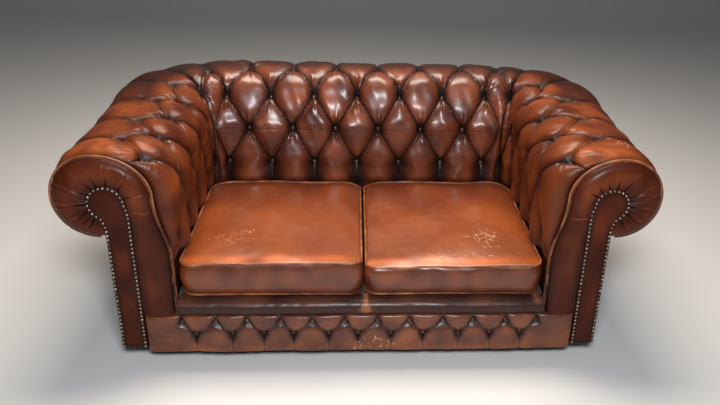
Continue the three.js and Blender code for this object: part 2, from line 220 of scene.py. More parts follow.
def place_group(tree, group, **values):
    """Puts a group into a material. A colour is given without its fourth number."""
    node = put(tree, "Group", node_tree=group)
    for socket, value in values.items():
        colour = node.inputs[socket].type == "RGBA"
        node.inputs[socket].default_value = (*value, 1) if colour else value
    return node


def wood(name, early, late, length, scale):
    finish, tree, shader = new_finish(name)
    grain = place_group(tree, sawn_wood, Early=early, Late=late, Length=length, Scale=scale)
    feed(tree, shader, grain, 0.0006)
    return finish


def give(node_name, finish):
    """A CAD node keeps its shape and gets this finish."""
    mesh = nodes[node_name].data
    mesh.materials.clear()
    mesh.materials.append(finish)


beech_early, beech_late = (0.56, 0.39, 0.24), (0.38, 0.23, 0.12)
beech_across = wood("beech_across", beech_early, beech_late, (0.08, 1, 1), 60)
beech_deep = wood("beech_front_to_back", beech_early, beech_late, (1, 0.08, 1), 60)
beech_upright = wood("beech_upright", beech_early, beech_late, (1, 1, 0.08), 60)
plywood = wood("plywood", (0.52, 0.36, 0.21), (0.34, 0.21, 0.11), (1, 18, 0.3), 14)
for name in ("front_rail", "back_rail", "back_top_rail", "back_tack_rail"):
    give(name, beech_across)
give("centre_cross_rail", beech_deep)
give("back_centre_post", beech_upright)
for side in ("left", "right"):
    for name in ("side_rail", "arm_top_rail", "arm_tack_rail"):
        give(f"{side}_{name}", beech_deep)
    for name in (f"{side}_back_post", f"front_{side}_corner_block", f"rear_{side}_corner_block"):
        give(name, beech_upright)
    give(f"{side}_arm_front_board", plywood)


# ---- Springs and seat platform ----
# Six zigzag springs of oiled wire run from the front rail to the back rail. Black cloth is stretched over
# them, with a felt pad on it that the cushions lie on.

def metal(name, film_scale, detail, dull, bright, spread, metallic, roughness):
    """Bare metal under a patchy film of oil or tarnish."""
    finish, tree, shader = new_finish(name)
    film = noise(tree, put(tree, "TexCoord").outputs["Object"], film_scale, detail)
    tree.links.new(two_tints(tree, film, dull, bright, spread), shader.inputs["Base Color"])
    shader.inputs["Metallic"].default_value = metallic
    shader.inputs["Roughness"].default_value = roughness
    return finish


spring_wire = metal("spring_wire", 45, 2.0, (0.12, 0.115, 0.11), (0.36, 0.35, 0.34), (0, 1), 0.9, 0.42)
for name in nodes:
    if name.startswith("seat_spring"):
        give(name, spring_wire)


def weave_group():
    """Two crossed threads of a plain cloth, read on Object coordinates."""
    group, given, place = new_group("plain_weave", surface, Thread="Color", Gap="Color", Count="Float")
    warp, weft = (put(group, "TexWave", {"Vector": place, "Scale": given["Count"], "Distortion": 0.6},
                      bands_direction=direction).outputs["Fac"] for direction in ("X", "Y"))
    cross = work(group, "MULTIPLY", warp, weft)
    fluff = noise(group, place, 30)
    soft = put(group, "Math", {0: fluff, 1: 0.5, 2: cross}, operation="MULTIPLY_ADD").outputs["Value"]
    rough = stretch(group, fluff, 0.0, 1.0, 0.85, 0.97)
    put(group, "NodeGroupOutput", {"Color": mix(group, soft, given["Gap"], given["Thread"]),
                                   "Roughness": rough, "Height": cross})
    return group


plain_weave = weave_group()


def cloth(name, thread, gap, count):
    finish, tree, shader = new_finish(name)
    feed(tree, shader, place_group(tree, plain_weave, Thread=thread, Gap=gap, Count=count), 0.0004)
    return finish


black_cloth = cloth("black_lining_cloth", (0.022, 0.022, 0.024), (0.006, 0.006, 0.007), 260)
needled_felt = cloth("needled_felt", (0.060, 0.052, 0.046), (0.030, 0.026, 0.023), 35)
white_foam = cloth("cushion_foam", (0.72, 0.66, 0.48), (0.58, 0.51, 0.34), 90)
give("platform_cloth", black_cloth)
give("seat_padding", needled_felt)


# ---- Dust cover ----
# Thin black cloth stapled under the rails. It is pulled flat at the edges and has dropped a little between
# them, and each staple pulls a small pucker.

def deselect():
    bpy.ops.object.select_all(action="DESELECT")


def take_up(piece):
    """Selects one piece alone and makes it the active one."""
    deselect()
    piece.select_set(True)
    bpy.context.view_layer.objects.active = piece


def finish_piece(piece, name, finish, slot, *replaced):
    """Names a piece, gives it its finish, and fixes it to the sofa. The slot is not used."""
    piece.name = name
    piece.data.name = name
    piece.data.materials.clear()
    piece.data.materials.append(finish)
    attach(piece, "root")
    if replaced:
        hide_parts(*replaced)
    return piece


def points_of(mesh):
    co = np.zeros(len(mesh.vertices) * 3)
    mesh.vertices.foreach_get("co", co)
    return co.reshape(-1, 3)


def move_points(mesh, co):
    mesh.vertices.foreach_set("co", np.asarray(co, float).ravel())
    mesh.update()


cover_low, cover_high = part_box("dust_cover")
cover_size = cover_high - cover_low
deselect()
bpy.ops.mesh.primitive_grid_add(x_subdivisions=92, y_subdivisions=52, size=1,
                                location=(cover_low + cover_high) / 2)
dust_cover = bpy.context.active_object
dust_cover.scale = (cover_size.x, cover_size.y, 1)
bpy.ops.object.transform_apply(location=True, rotation=False, scale=True)
co = points_of(dust_cover.data)
edge = np.minimum(np.minimum(co[:, 0] - cover_low.x, cover_high.x - co[:, 0]),
                  np.minimum(co[:, 1] - cover_low.y, cover_high.y - co[:, 1]))
inside = np.clip((edge - 0.036) / 0.2, 0, 1)
staple_gap, drop = 0.045, 0.007
pucker = np.cos(co[:, 0] * 2 * math.pi / staple_gap) * np.cos(co[:, 1] * 2 * math.pi / staple_gap)
co[:, 2] -= drop * inside * (2 - inside) + 0.0007 * pucker * np.exp(-np.abs(edge - 0.03) / 0.02)
move_points(dust_cover.data, co)
thickness = dust_cover.modifiers.new("thickness", "SOLIDIFY")
thickness.thickness = 0.0009
bpy.ops.object.modifier_apply(modifier="thickness")
bpy.ops.object.shade_smooth()
finish_piece(dust_cover, "dust_cover_cloth", black_cloth, "black_cloth", "dust_cover")


# ---- Feet ----
# Four turned hardwood bun feet, stained almost black and screwed up into the frame.

dark_wood = wood("dark_stained_wood", (0.040, 0.018, 0.010), (0.016, 0.007, 0.005), (1, 1, 0.15), 80)


def turned(name, profile, sides):
    """A solid of revolution, extruded ring by ring from its lowest (radius, height)."""
    deselect()
    radius, height = profile[0]
    bpy.ops.mesh.primitive_circle_add(vertices=sides, radius=radius, fill_type="NGON",
                                      location=(0, 0, height))
    edit_all()
    for next_radius, next_height in profile[1:]:
        bpy.ops.mesh.extrude_region_move(TRANSFORM_OT_translate={"value": (0, 0, next_height - height)})
        size = next_radius / radius
        bpy.ops.transform.resize(value=(size, size, 1), center_override=(0, 0, next_height))
        radius, height = next_radius, next_height
    bpy.ops.mesh.select_all(action="SELECT")
    bpy.ops.mesh.normals_make_consistent(inside=False)
    stop_editing()
    piece = bpy.context.active_object
    piece.name = name
    bpy.ops.object.transform_apply(location=True, rotation=True, scale=True)
    bpy.ops.object.shade_smooth_by_angle(angle=math.radians(40))
    return piece


foot_profile = [(0.0215, 0.0), (0.0245, 0.0015), (0.026, 0.005), (0.030, 0.013), (0.0335, 0.022),
                (0.0345, 0.030), (0.0335, 0.037), (0.031, 0.0425), (0.0285, 0.0455), (0.0285, 0.0475),
                (0.0335, 0.0485), (0.0340, 0.0505), (0.0340, 0.0540), (0.0335, 0.0546)]
pattern_foot = turned("foot_pattern", foot_profile, 48)
for end in ("front", "rear"):
    for side in ("left", "right"):
        low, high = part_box(f"{end}_{side}_foot")
        foot = stand("foot", pattern_foot.data.copy())
        foot.data.transform(Matrix.Translation(((low.x + high.x) / 2, (low.y + high.y) / 2, 0)))
        finish_piece(foot, f"{end}_{side}_turned_foot", dark_wood, "dark_wood", f"{end}_{side}_foot")
bpy.data.objects.remove(pattern_foot)


# ---- Antique hide ----
# The covers are cut from waxed brown hide. The dye has gone dark in the folds and seams and rubbed to tan
# on the crests, and the surface has a fine pebble grain, soft mottling and scratches. The fold masks also
# hold painted shade in hollows and where parts meet, and the rub masks hold painted highlights.

def hide_group():
    """Fold and Rub are masks from 0 to 1: dye and painted shade, and rubbed wear and painted highlights."""
    group, given, place = new_group("antique_hide", surface, Dark="Color", Body="Color", Rubbed="Color",
                                    Fold="Float", Rub="Float", Gloss="Float", Patchy="Float",
                                    Scratched="Float")
    blotch = noise(group, place, 5.5, 4.0, 0.55)
    mottle = noise(group, place, 26, 5.0, 0.6)
    speck = noise(group, place, 190, 3.0, 0.55)

    patches = work(group, "MULTIPLY", stretch(group, blotch, 0.32, 0.62, -0.65, 0.25), given["Patchy"])
    rub = work(group, "MULTIPLY", given["Rub"], work(group, "ADD", patches, 1.0))
    rub = work(group, "MULTIPLY", rub, stretch(group, mottle, 0.25, 0.6, 0.82, 1.08), clamp=True)
    dim = work(group, "MULTIPLY", stretch(group, mottle, 0.42, 0.75), 0.20)
    dark_patch = work(group, "MULTIPLY", stretch(group, blotch, 0.62, 0.38),
                      work(group, "MULTIPLY", given["Patchy"], 0.22))
    fold = work(group, "ADD", given["Fold"], dark_patch, clamp=True)
    colour = mix(group, dim, given["Body"], given["Dark"])
    colour = mix(group, rub, colour, given["Rubbed"])
    colour = mix(group, fold, colour, given["Dark"])
    bare_hide = (0.62, 0.34, 0.19, 1)
    colour = mix(group, given["Scratched"], colour, bare_hide)

    grain = put(group, "TexVoronoi", {"Vector": place, "Scale": 480}, feature="SMOOTH_F1")
    pebble = work(group, "MULTIPLY", grain.outputs["Distance"], 0.35)
    height = work(group, "ADD", pebble, work(group, "MULTIPLY", speck, 0.5))
    height = work(group, "ADD", height, work(group, "MULTIPLY", mottle, 0.9))
    rough = work(group, "ADD", given["Gloss"], stretch(group, mottle, 0.3, 0.7, -0.05, 0.07))
    rough = work(group, "ADD", rough, work(group, "MULTIPLY", fold, 0.12))
    rough = work(group, "ADD", rough, work(group, "MULTIPLY", given["Scratched"], 0.25))
    rough = work(group, "ADD", rough, stretch(group, speck, 0.3, 0.7, -0.02, 0.03), clamp=True)
    put(group, "NodeGroupOutput", {"Color": colour, "Roughness": rough, "Height": height})
    return group


antique_hide = hide_group()


def crackle_group():
    """Fine broken scratches crossing each other, in a round cluster that fades out."""
    group, given, place = new_group("scratch_cluster", {"Mask": "Float"}, Middle="Vector", Shape="Vector",
                                    Scale="Float", Width="Float", Density="Float")
    from_middle = put(group, "VectorMath", {0: place, 1: given["Middle"]}, operation="SUBTRACT")
    squeezed = put(group, "VectorMath", {0: from_middle.outputs["Vector"], 1: given["Shape"]},
                   operation="MULTIPLY")
    reach = put(group, "VectorMath", {0: squeezed.outputs["Vector"]}, operation="LENGTH").outputs["Value"]
    fade = stretch(group, reach, 1.0, 0.35, ease="SMOOTHSTEP")
    wobble = put(group, "TexNoise", {"Vector": place, "Scale": 30, "Detail": 3.0})
    bent = put(group, "VectorMath", {0: wobble.outputs["Color"], 1: (0.03, 0.03, 0.03), 2: place},
               operation="MULTIPLY_ADD")
    cells = put(group, "TexVoronoi", {"Vector": bent.outputs["Vector"], "Scale": given["Scale"]},
                feature="DISTANCE_TO_EDGE")
    line = work(group, "LESS_THAN", cells.outputs["Distance"], given["Width"])
    kept = work(group, "ADD", noise(group, place, 75), work(group, "MULTIPLY", fade, given["Density"]))
    limit = stretch(group, kept, 0.92, 1.10, ease="SMOOTHSTEP")
    put(group, "NodeGroupOutput", {"Mask": work(group, "MULTIPLY", line, limit, clamp=True)})
    return group


scratch_cluster = crackle_group()


def scratch(tree, skin, clusters):
    """Adds clusters of scratches, each (middle, half lengths, scale, width, density), to a leather."""
    last = None
    for middle, half, scale, width, density in clusters:
        mask = place_group(tree, scratch_cluster, Middle=middle, Shape=[1 / h for h in half], Scale=scale,
                           Width=width, Density=density).outputs["Mask"]
        last = mask if last is None else work(tree, "MAXIMUM", last, mask)
    tree.links.new(last, skin.inputs["Scratched"])


def hide(name, dark, body, rubbed, gloss, grain_depth=0.0009, marks=True, patchy=0.8, shine=0.24,
         coat=0.09):
    """A leather finish; marks says that the mesh carries its own fold and rub masks. Folds are dull."""
    finish, tree, shader = new_finish(name)
    skin = place_group(tree, antique_hide, Dark=dark, Body=body, Rubbed=rubbed, Gloss=gloss, Fold=0.0,
                       Rub=0.3, Patchy=patchy, Scratched=0.0)
    feed(tree, shader, skin, grain_depth, 0.45)
    shader.inputs["Specular IOR Level"].default_value = shine
    shader.inputs["Coat Weight"].default_value = coat
    shader.inputs["Coat Roughness"].default_value = 0.17
    if marks:
        fold, rub = (put(tree, "Attribute", attribute_name=mask).outputs["Fac"] for mask in ("fold", "rub"))
        tree.links.new(fold, skin.inputs["Fold"])
        tree.links.new(rub, skin.inputs["Rub"])
        in_folds = 0.12      # the share of the wax that is left there
        tree.links.new(stretch(tree, fold, 0.0, 1.0, coat, in_folds * coat), shader.inputs["Coat Weight"])
    return finish, tree, shader, skin


antique_leather, tree, shader, skin = hide("antique_leather", (0.009, 0.003, 0.002), (0.082, 0.015, 0.005),
                                           (0.310, 0.070, 0.015), 0.36, patchy=0.6, shine=0.19, coat=0.08)
scratch(tree, skin, [((0.735, -0.345, 0.640), (0.070, 0.060, 0.06), 38, 0.034, 0.54),
                     ((0.790, -0.360, 0.620), (0.050, 0.050, 0.07), 50, 0.030, 0.48)])
back_leather = hide("back_leather", (0.009, 0.003, 0.002), (0.074, 0.015, 0.007),
                    (0.250, 0.058, 0.017), 0.34, patchy=0.6, shine=0.46, coat=0.18)[0]
dark_leather = hide("dark_leather", (0.010, 0.003, 0.002), (0.038, 0.0065, 0.003),
                    (0.095, 0.017, 0.006), 0.38, shine=0.11, coat=0.03)[0]


def mark(mesh, **masks):
    """Writes masks, one value for each point, for the finish to read."""
    for name, values in masks.items():
        layer = mesh.attributes.new(name, "FLOAT", "POINT")
        layer.data.foreach_set("value", np.clip(values, 0, 1).astype(np.float32))


# ---- Arms and back ----
# A hide cover runs from the seat up the inside of each arm, over the scroll and down to a tack line, and
# another covers the back. Buttons pull in the stuffing, with pleats folded from one to the next, and the
# covers meet in a crease at each back corner. The pleats are too many to simulate, so points are moved.

hairline = 0.0004        # between parts that lie on each other
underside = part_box("outside_back_panel")[0].z
inner_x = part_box("front_rail")[1].x + hairline
arm_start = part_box("right_arm_upholstery")[0].y
back_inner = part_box("seat_padding")[1].y + hairline
corner_fill = 0.080
roll_u, roll_v = 0.175, 0.478                           # the middle of the scroll
roll_in, roll_out, roll_up = 0.140, 0.114, 0.113        # how far it reaches inwards, outwards and up
face_top, seat_v, roll_end = 0.290, 0.158, math.radians(-97.5)
rise = 0.040             # the back is this much higher than the arms
arm_straight = back_inner - corner_fill - arm_start
corner_run = (corner_fill + 0.03) * math.pi / 2
back_straight = 2 * (inner_x - corner_fill)
whole_run = 2 * (arm_straight + corner_run) + back_straight
middle = whole_run / 2


def smooth(x):
    x = np.clip(x, 0, 1)
    return x * x * (3 - 2 * x)


def dome(x):
    """Rises steeply from 0 and is flat at 1, as a quarter circle does."""
    x = np.clip(x, 0, 1)
    return np.sqrt(1 - (1 - x) ** 2)


def ridge(x, width):
    """Is 1 at 0 and dies away on both sides."""
    return np.exp(-(x / width) ** 2)


def length_along(line):
    return np.concatenate([[0], np.cumsum(np.linalg.norm(np.diff(line, axis=0), axis=1))])


def section_line(grow, inward):
    """Distance along the cover from the seat, and the points (u, v): outwards and up from the underside."""
    innermost = roll_u - roll_in - inward
    up = np.stack([np.zeros(40), np.linspace(seat_v, face_top, 40)], 1)
    step = np.linspace(0, 1, 90)[1:, None]
    a, b, c, d = (np.array(p) for p in ((0, face_top), (0, face_top + 0.07), (innermost, roll_v - 0.078),
                                        (innermost, roll_v)))
    lean = ((1 - step) ** 3 * a + 3 * (1 - step) ** 2 * step * b + 3 * (1 - step) * step ** 2 * c
            + step ** 3 * d)
    arcs = []
    for turn, width in ((np.linspace(0, math.pi / 2, 120), -(roll_in + inward)),
                        (np.linspace(math.pi / 2, roll_end, 220), roll_out + grow)):
        turn = turn[1:]
        arcs.append(np.stack([roll_u + width * np.cos(turn), roll_v + (roll_up + grow) * np.sin(turn)], 1))
    line = np.concatenate([up, lean, *arcs])
    return length_along(line), line


flush = 0.0014           # the cover stands out this much where it meets the board
arm_padding, corner_padding = 0.038, 0.008


def cover_points(runs, heights):
    """The cover without its stuffing: a grid of points, along the sofa and up the section."""
    grid = np.zeros((len(runs), len(heights), 3))
    for row, run in enumerate(runs):
        side = -1 if run < middle else 1
        s = min(run, whole_run - run)
        ease = dome(s / 0.07)
        to_back = smooth((s - (arm_straight - 0.05)) / (corner_run + 0.10))
        inward = (arm_padding - (arm_padding - corner_padding) * to_back) * ease + flush * (1 - ease)
        slim = 0.012 * smooth(s / 0.32) * (1 - to_back)
        length, line = section_line(-0.002 * ease + flush * (1 - ease) - slim, inward)
        t = np.minimum(heights, length[-1])
        u, v = np.interp(t, length, line[:, 0]), np.interp(t, length, line[:, 1])
        if s < arm_straight:
            x, y = inner_x + u, arm_start + s + 0 * u
        elif s < arm_straight + corner_run:
            turn = (s - arm_straight) / corner_run * math.pi / 2
            fullness = 0.145 * math.sin(2 * turn) * np.clip(u / 0.304, 0, 1.1)
            reach = (corner_fill + u) * (1 + fullness)
            to_panels = (corner_fill + u) / max(math.cos(turn), math.sin(turn))
            reach = reach + (to_panels - reach) * smooth((t - 0.70) / 0.18)
            x = inner_x - corner_fill + reach * math.cos(turn)
            y = back_inner - corner_fill + reach * math.sin(turn)
        else:
            x = inner_x - corner_fill - (s - arm_straight - corner_run) + 0 * u
            y = back_inner + u
        climb = rise * min(max(s, 0) / arm_straight, 1)
        grid[row] = np.stack([side * x, y, underside + v + climb], 1)
    return grid


left_crease, right_crease = middle - 0.548, middle + 0.512
top_line = 0.92          # the tack line under the roll
back_centre = middle - 0.019
pitch = 0.149


def mirrored_arm(rows):
    return [(whole_run - s, t) for s, t in rows]


left_rows = {
    "top": [(0.104, 0.505), (0.255, 0.490), (0.412, 0.474), (0.545, 0.455)],
    "upper": [(0.034, 0.422), (0.166, 0.418), (0.308, 0.411), (0.449, 0.402)],
    "lower": [(0.100, 0.322), (0.250, 0.308), (0.395, 0.294), (0.520, 0.278)],
    "bottom": [(0.040, 0.180), (0.172, 0.172), (0.312, 0.164), (0.452, 0.156)]}
right_rows = {
    "top": [(0.141, 0.508), (0.299, 0.500), (0.457, 0.488), (0.572, 0.455)],
    "upper": [(0.056, 0.407), (0.205, 0.403), (0.361, 0.398), (0.515, 0.394)],
    "lower": [(0.140, 0.300), (0.310, 0.297), (0.466, 0.280), (0.580, 0.270)],
    "bottom": [(0.056, 0.176), (0.205, 0.168), (0.361, 0.160), (0.515, 0.154)]}
back_rows = {
    "top": [(middle - 0.502, 0.470),
            *[(back_centre + (k - 2.5) * pitch, 0.478 + 0.004 * k) for k in range(6)],
            (middle + 0.474, 0.500)],
    "upper": [(back_centre + (k - 3) * pitch, 0.370 + 0.0012 * k) for k in range(7)],
    "lower": [(middle - 0.540, 0.264), *[(back_centre + (k - 2.5) * pitch, 0.261) for k in range(6)],
              (middle + 0.500, 0.270)],
    "bottom": [(back_centre + (k - 3) * pitch, 0.138) for k in range(7)]}
corner_pits = {left_crease: (0.386, 0.150), right_crease: (0.383, 0.150)}
far = 9.0                # further than any point of a cover is from another


def zigzag(first, second, arched=0.0):
    """Pleats between two staggered rows of buttons. Arched ones leave the second row upright."""
    ordered = sorted([*first, *second])
    lines = []
    for a, b in zip(ordered, ordered[1:]):
        if (a in first) == (b in first):
            continue
        top, foot = (a, b) if a in first else (b, a)
        line = []
        for turn in np.linspace(0, 1, 7 if arched else 2):
            x = turn * (1 - arched) + (1 - math.cos(turn * math.pi / 2)) * arched
            y = turn * (1 - arched) + math.sin(turn * math.pi / 2) * arched
            line.append((foot[0] + (top[0] - foot[0]) * x, foot[1] + (top[1] - foot[1]) * y))
        lines.append(line)
    return lines


def diamonds(rows):
    """Pleats between the four rows of buttons."""
    return (zigzag(rows["top"], rows["upper"], 0.25) + zigzag(rows["upper"], rows["lower"])
            + zigzag(rows["lower"], rows["bottom"]))


def straight_pleats(rows):
    """Pleats from the top row over the roll to the tack line, and from the bottom row down to the seat."""
    return [(p, (p[0], top_line)) for p in rows["top"]] + [(p, (p[0], 0.0)) for p in rows["bottom"]]


def arm_pleats(rows, crease, front):
    corner_upper, corner_bottom = ((crease, t) for t in corner_pits[crease])
    last_top, last_lower = (max(rows[row], key=lambda p: abs(p[0] - front)) for row in ("top", "lower"))
    pleats = diamonds(rows) + [(last_top, corner_upper), (last_lower, corner_upper),
                               (last_lower, corner_bottom)] + straight_pleats(rows)
    nearest = min(rows["upper"], key=lambda p: abs(p[0] - front))
    return pleats + [(nearest, (front, nearest[1] + 0.012))]


def back_pleats():
    ends = [(back_rows["top"][k], (crease, corner_pits[crease][0]))
            for k, crease in ((0, left_crease), (-1, right_crease))]
    return diamonds(back_rows) + ends + straight_pleats(back_rows)


def distance_to(points, a, b):
    a, b = np.array(a), np.array(b)
    along = np.clip(((points - a) @ (b - a)) / max((b - a) @ (b - a), 1e-9), 0, 1)
    return np.linalg.norm(points - (a + along[:, None] * (b - a)), axis=1)


def across_line(points, line):
    """Distance from a line of points, counted negative below it."""
    best = np.full(len(points), far)
    for a, b in zip(line, line[1:]):
        d = distance_to(points, a, b) + 1e-4
        step = np.array(b) - np.array(a)
        step = step if step[0] >= 0 else -step
        above = np.sign(step[0] * (points[:, 1] - a[1]) - step[1] * (points[:, 0] - a[0]) + 1e-12)
        best = np.where(d < np.abs(best), d * above, best)
    return best


def ripple(points, size, seed, count=9):
    """Soft unevenness of about this size, from -1 to 1, the same on each run."""
    chance = np.random.default_rng(seed)
    angle = chance.uniform(0, 2 * math.pi, count)
    phase = chance.uniform(0, 2 * math.pi, count)
    stride = 2 * math.pi / size * chance.uniform(0.6, 1.5, count)
    total = 0
    for a, p, k in zip(angle, phase, stride):
        total = total + np.sin(k * (points[:, 0] * math.cos(a) + points[:, 1] * math.sin(a)) + p)
    return total / count ** 0.5 / 1.3


def stuffing(points, pits, pleats, edges, creases, seed):
    """How far each point of the cover stands out, with its fold and rub masks."""
    t = points[:, 1]
    nearest, pit = np.full(len(points), far), np.full(len(points), far)
    blend, fan, light, stretched = np.zeros((4, len(points)))
    for line in pleats:
        d = across_line(points, line)
        nearest = np.where(np.abs(d) < np.abs(nearest), d, nearest)
        blend += (0.01 / np.abs(d)) ** 4
    for d in edges:
        d = np.abs(d) + 1e-4
        nearest = np.where(d < np.abs(nearest), d, nearest)
        blend += (0.01 / d) ** 4
    even = 0.01 * blend ** -0.25
    chance = np.random.default_rng(seed)
    for s, tp in pits:
        away = points - np.array((s, tp))
        r = np.hypot(away[:, 0], np.where(away[:, 1] > 0, away[:, 1] / 1.35, away[:, 1]))
        pit = np.minimum(pit, r + (0.007 if tp > 0.44 else 0))
        angle = np.arctan2(away[:, 0], -away[:, 1])
        spokes = np.sin(angle * 13 + chance.uniform(0, 6)) + 0.7 * np.sin(angle * 19 + chance.uniform(0, 6))
        upright = np.cos(angle) ** 2
        strength = chance.uniform(0.6, 1.2) * (0.25 if tp < 0.20 else 1)    # weak at the bottom row
        fan += spokes * upright * ridge(r - 0.028, 0.016) * strength
    from_front = np.minimum(points[:, 0], whole_run - points[:, 0])
    on_arm = 1 - smooth((from_front - arm_straight) / corner_run)
    low_cut = 0.085 - 0.040 * np.clip(from_front / arm_straight, 0, 1)
    full, less_on_roll, less_outside = 0.029, 0.011, 0.003
    size = full - less_on_roll * smooth((t - 0.40) / 0.13) - less_outside * smooth((t - 0.60) / 0.15)
    size -= 0.006 * on_arm * smooth(from_front / 0.30) * smooth((t - 0.46) / 0.06)
    size = size * smooth((t - low_cut) / 0.05) * smooth((top_line - 0.005 - t) / 0.12)
    size = size * dome(from_front / 0.045)
    size = size * (1 + 0.13 * ripple(points, 0.22, seed + 1))
    shallow = (0.46 - 0.26 * smooth((t - 0.48) / 0.08)) * smooth(pit / 0.06)
    valley = smooth((0.172 - t) / 0.055)
    rounded = dome(even / 0.048) * (1 - 0.8 * valley) + 0.8 * valley * smooth(even / 0.058)
    shallow = shallow * (1 - 0.8 * valley)
    crown = shallow + (1 - shallow) * rounded
    pulled_in, gathers, lumps = 0.010, 0.0027, 0.0012
    out = size * crown - pulled_in * ridge(pit, 0.013)
    out += gathers * fan + lumps * ripple(points, 0.05, seed + 2) * crown
    belly = ridge(t - 0.275, 0.04) - ridge(t - 0.365, 0.04)
    out += 0.011 * (1 - on_arm) * belly
    for a, b in creases:
        line = [(a[0] + (b[0] - a[0]) * k / 6, a[1] + chance.uniform(-0.0028, 0.0028) - 0.003)
                for k in range(7)]
        d = across_line(points, line)
        part = chance.uniform(0.1, 0.4)
        inside = smooth((points[:, 0] - a[0]) / 0.03) * smooth((b[0] - part * 0.08 - points[:, 0]) / 0.03)
        # Each stretch crease is a small dent with painted shade in it and a painted highlight just above
        # it.
        out -= 0.0012 * ridge(d, 0.0026) * inside
        light += 0.22 * ridge(d + 0.003, 0.0016) * inside
        stretched += 0.55 * ridge(d, 0.0020) * inside
    # Fold: dye and painted shade in the pleats, pits and wrinkles; painted shade in the wide valleys of the
    # bottom row and low down, where the cover goes behind the seat.
    near = np.abs(nearest)
    fold = 0.85 * np.exp(-(np.abs(nearest - 0.0012) / 0.0026) ** 1.5) + 1.1 * ridge(pit, 0.0150)
    fold = fold + 0.22 * np.exp(-near / 0.012) + 0.10 * (fan < -0.5) * ridge(pit, 0.03)
    fold = fold * (1 - 0.5 * valley) + 0.90 * valley * ridge(near, 0.024) * (1 - on_arm)
    # Painted highlight: a thin light line along one side of each pleat.
    light += ridge(nearest + 0.0032, 0.0017) * (pit > 0.017) * (1 - 0.8 * valley)
    fold = np.maximum(fold + stretched, 0.50 * smooth((0.08 + 0.02 * on_arm - t) / 0.07))
    # Rub: crests rubbed to tan, partly a painted highlight on the raised puffs, plus the painted highlights
    # above.
    rub = smooth((crown - 0.5) / 0.5) * (0.42 + 0.36 * ripple(points, 0.12, seed + 3)) + 0.75 * light
    rub *= 1 - 0.35 * on_arm * smooth((0.43 - t) / 0.06)
    # The front of each arm's roll is rubbed lighter by hands and also carries a painted highlight.
    hand_wear_and_highlight = smooth((0.13 - from_front) / 0.10) * smooth((t - 0.40) / 0.06) * smooth((0.66 - t) / 0.10)
    rub += hand_wear_and_highlight * (0.62 + 0.30 * ripple(points, 0.07, seed + 4))
    rub += 0.30 * valley * smooth((even - 0.015) / 0.035) * (1 - on_arm)
    return out, fold, rub


def ripple_on(grid, size, seed):
    """The same unevenness over a grid seen from the front."""
    return ripple(grid[:, :, [0, 2]].reshape(-1, 2), size, seed).reshape(grid.shape[:2])


def grid_normals(grid):
    normal = np.cross(np.gradient(grid, axis=0), np.gradient(grid, axis=1))
    return normal / np.maximum(np.linalg.norm(normal, axis=2, keepdims=True), 1e-9)


def from_faces(name, co, faces):
    mesh = bpy.data.meshes.new(name)
    mesh.from_pydata(co.tolist(), [], [tuple(int(i) for i in f) for f in faces])
    return stand(name, mesh)


def closed_run(name, grid):
    """A solid from a grid of points: its last column is joined to its first, and its ends are closed."""
    rows, columns = grid.shape[:2]
    index = np.arange(rows * columns).reshape(rows, columns)
    faces = []
    for here, there in zip(index, index[1:]):
        for c in range(columns):
            n = (c + 1) % columns
            faces.append((here[c], here[n], there[n], there[c]))
    return from_faces(name, grid.reshape(-1, 3), faces + [tuple(index[0][::-1]), tuple(index[-1])])


def tidy_solid(piece, angle=50):
    """Turns the faces outwards and smooths all but sharp edges."""
    take_up(piece)
    edit_all()
    bpy.ops.mesh.normals_make_consistent(inside=False)
    stop_editing()
    bpy.ops.object.shade_smooth_by_angle(angle=math.radians(angle))
    return piece


fine, coarse = 0.0034, 0.009
heights = np.concatenate([np.arange(0, 0.09, coarse), np.arange(0.09, 0.56, fine),
                          np.arange(0.56, top_line, 0.0065), [top_line]])
board_edge = 0.0172      # the cover turns over the edge of the arm board, and is tacked to its front


def upholster(name, finish, run_from, run_to, pits, pleats, edges, creases, seed):
    """The cover has the padding's thickness behind it, and its own over the edge of the arm board."""
    runs = np.linspace(run_from, run_to, round((run_to - run_from) / fine))
    turned_over = np.array([0.0003, 0.005, 0.011, board_edge])
    if run_from == 0:
        runs = np.concatenate([-turned_over[::-1], runs])
    if run_to == whole_run:
        runs = np.concatenate([runs, whole_run + turned_over])
    grid = cover_points(runs, heights)
    points = np.stack(np.meshgrid(runs, heights, indexing="ij"), -1).reshape(-1, 2)
    out, fold, rub = stuffing(points, pits, pleats, [points[:, 0] - e for e in edges], creases, seed)
    from_front = np.minimum(points[:, 0], whole_run - points[:, 0])
    # Painted shade over the top of the roll, faint on the arms and strong on the back: darker, and less
    # rubbed.
    roll_top_shade = 0.08 + 0.50 * smooth((from_front - arm_straight + 0.22) / 0.30)
    over_roll = smooth((points[:, 1] - 0.46) / 0.06)
    fold, rub = fold + roll_top_shade * over_roll, rub * (1 - 1.5 * roll_top_shade * over_roll)
    normals = grid_normals(grid)
    stuffed = grid + normals * out.reshape(grid.shape[:2] + (1,))
    over_board = (runs < 0) | (runs > whole_run)
    hide_only, padding = 0.001, 0.027
    thickness = np.where(over_board, hide_only, padding)[:, None, None]
    inside = (grid - normals * thickness)[:, ::-6]
    piece = closed_run(name, np.concatenate([stuffed, inside], axis=1))
    hidden = np.zeros(inside.shape[:2])
    masks = [np.concatenate([m.reshape(grid.shape[:2]), hidden], axis=1).ravel() for m in (fold, rub)]
    mark(piece.data, fold=masks[0], rub=masks[1])
    tidy_solid(piece)
    finish_piece(piece, name + "_cover", finish, "antique_leather", name + "_upholstery")
    return stuffed, normals, runs


def arm_pits(rows, crease):
    return [p for row in rows.values() for p in row] + [(crease, t) for t in corner_pits[crease]]


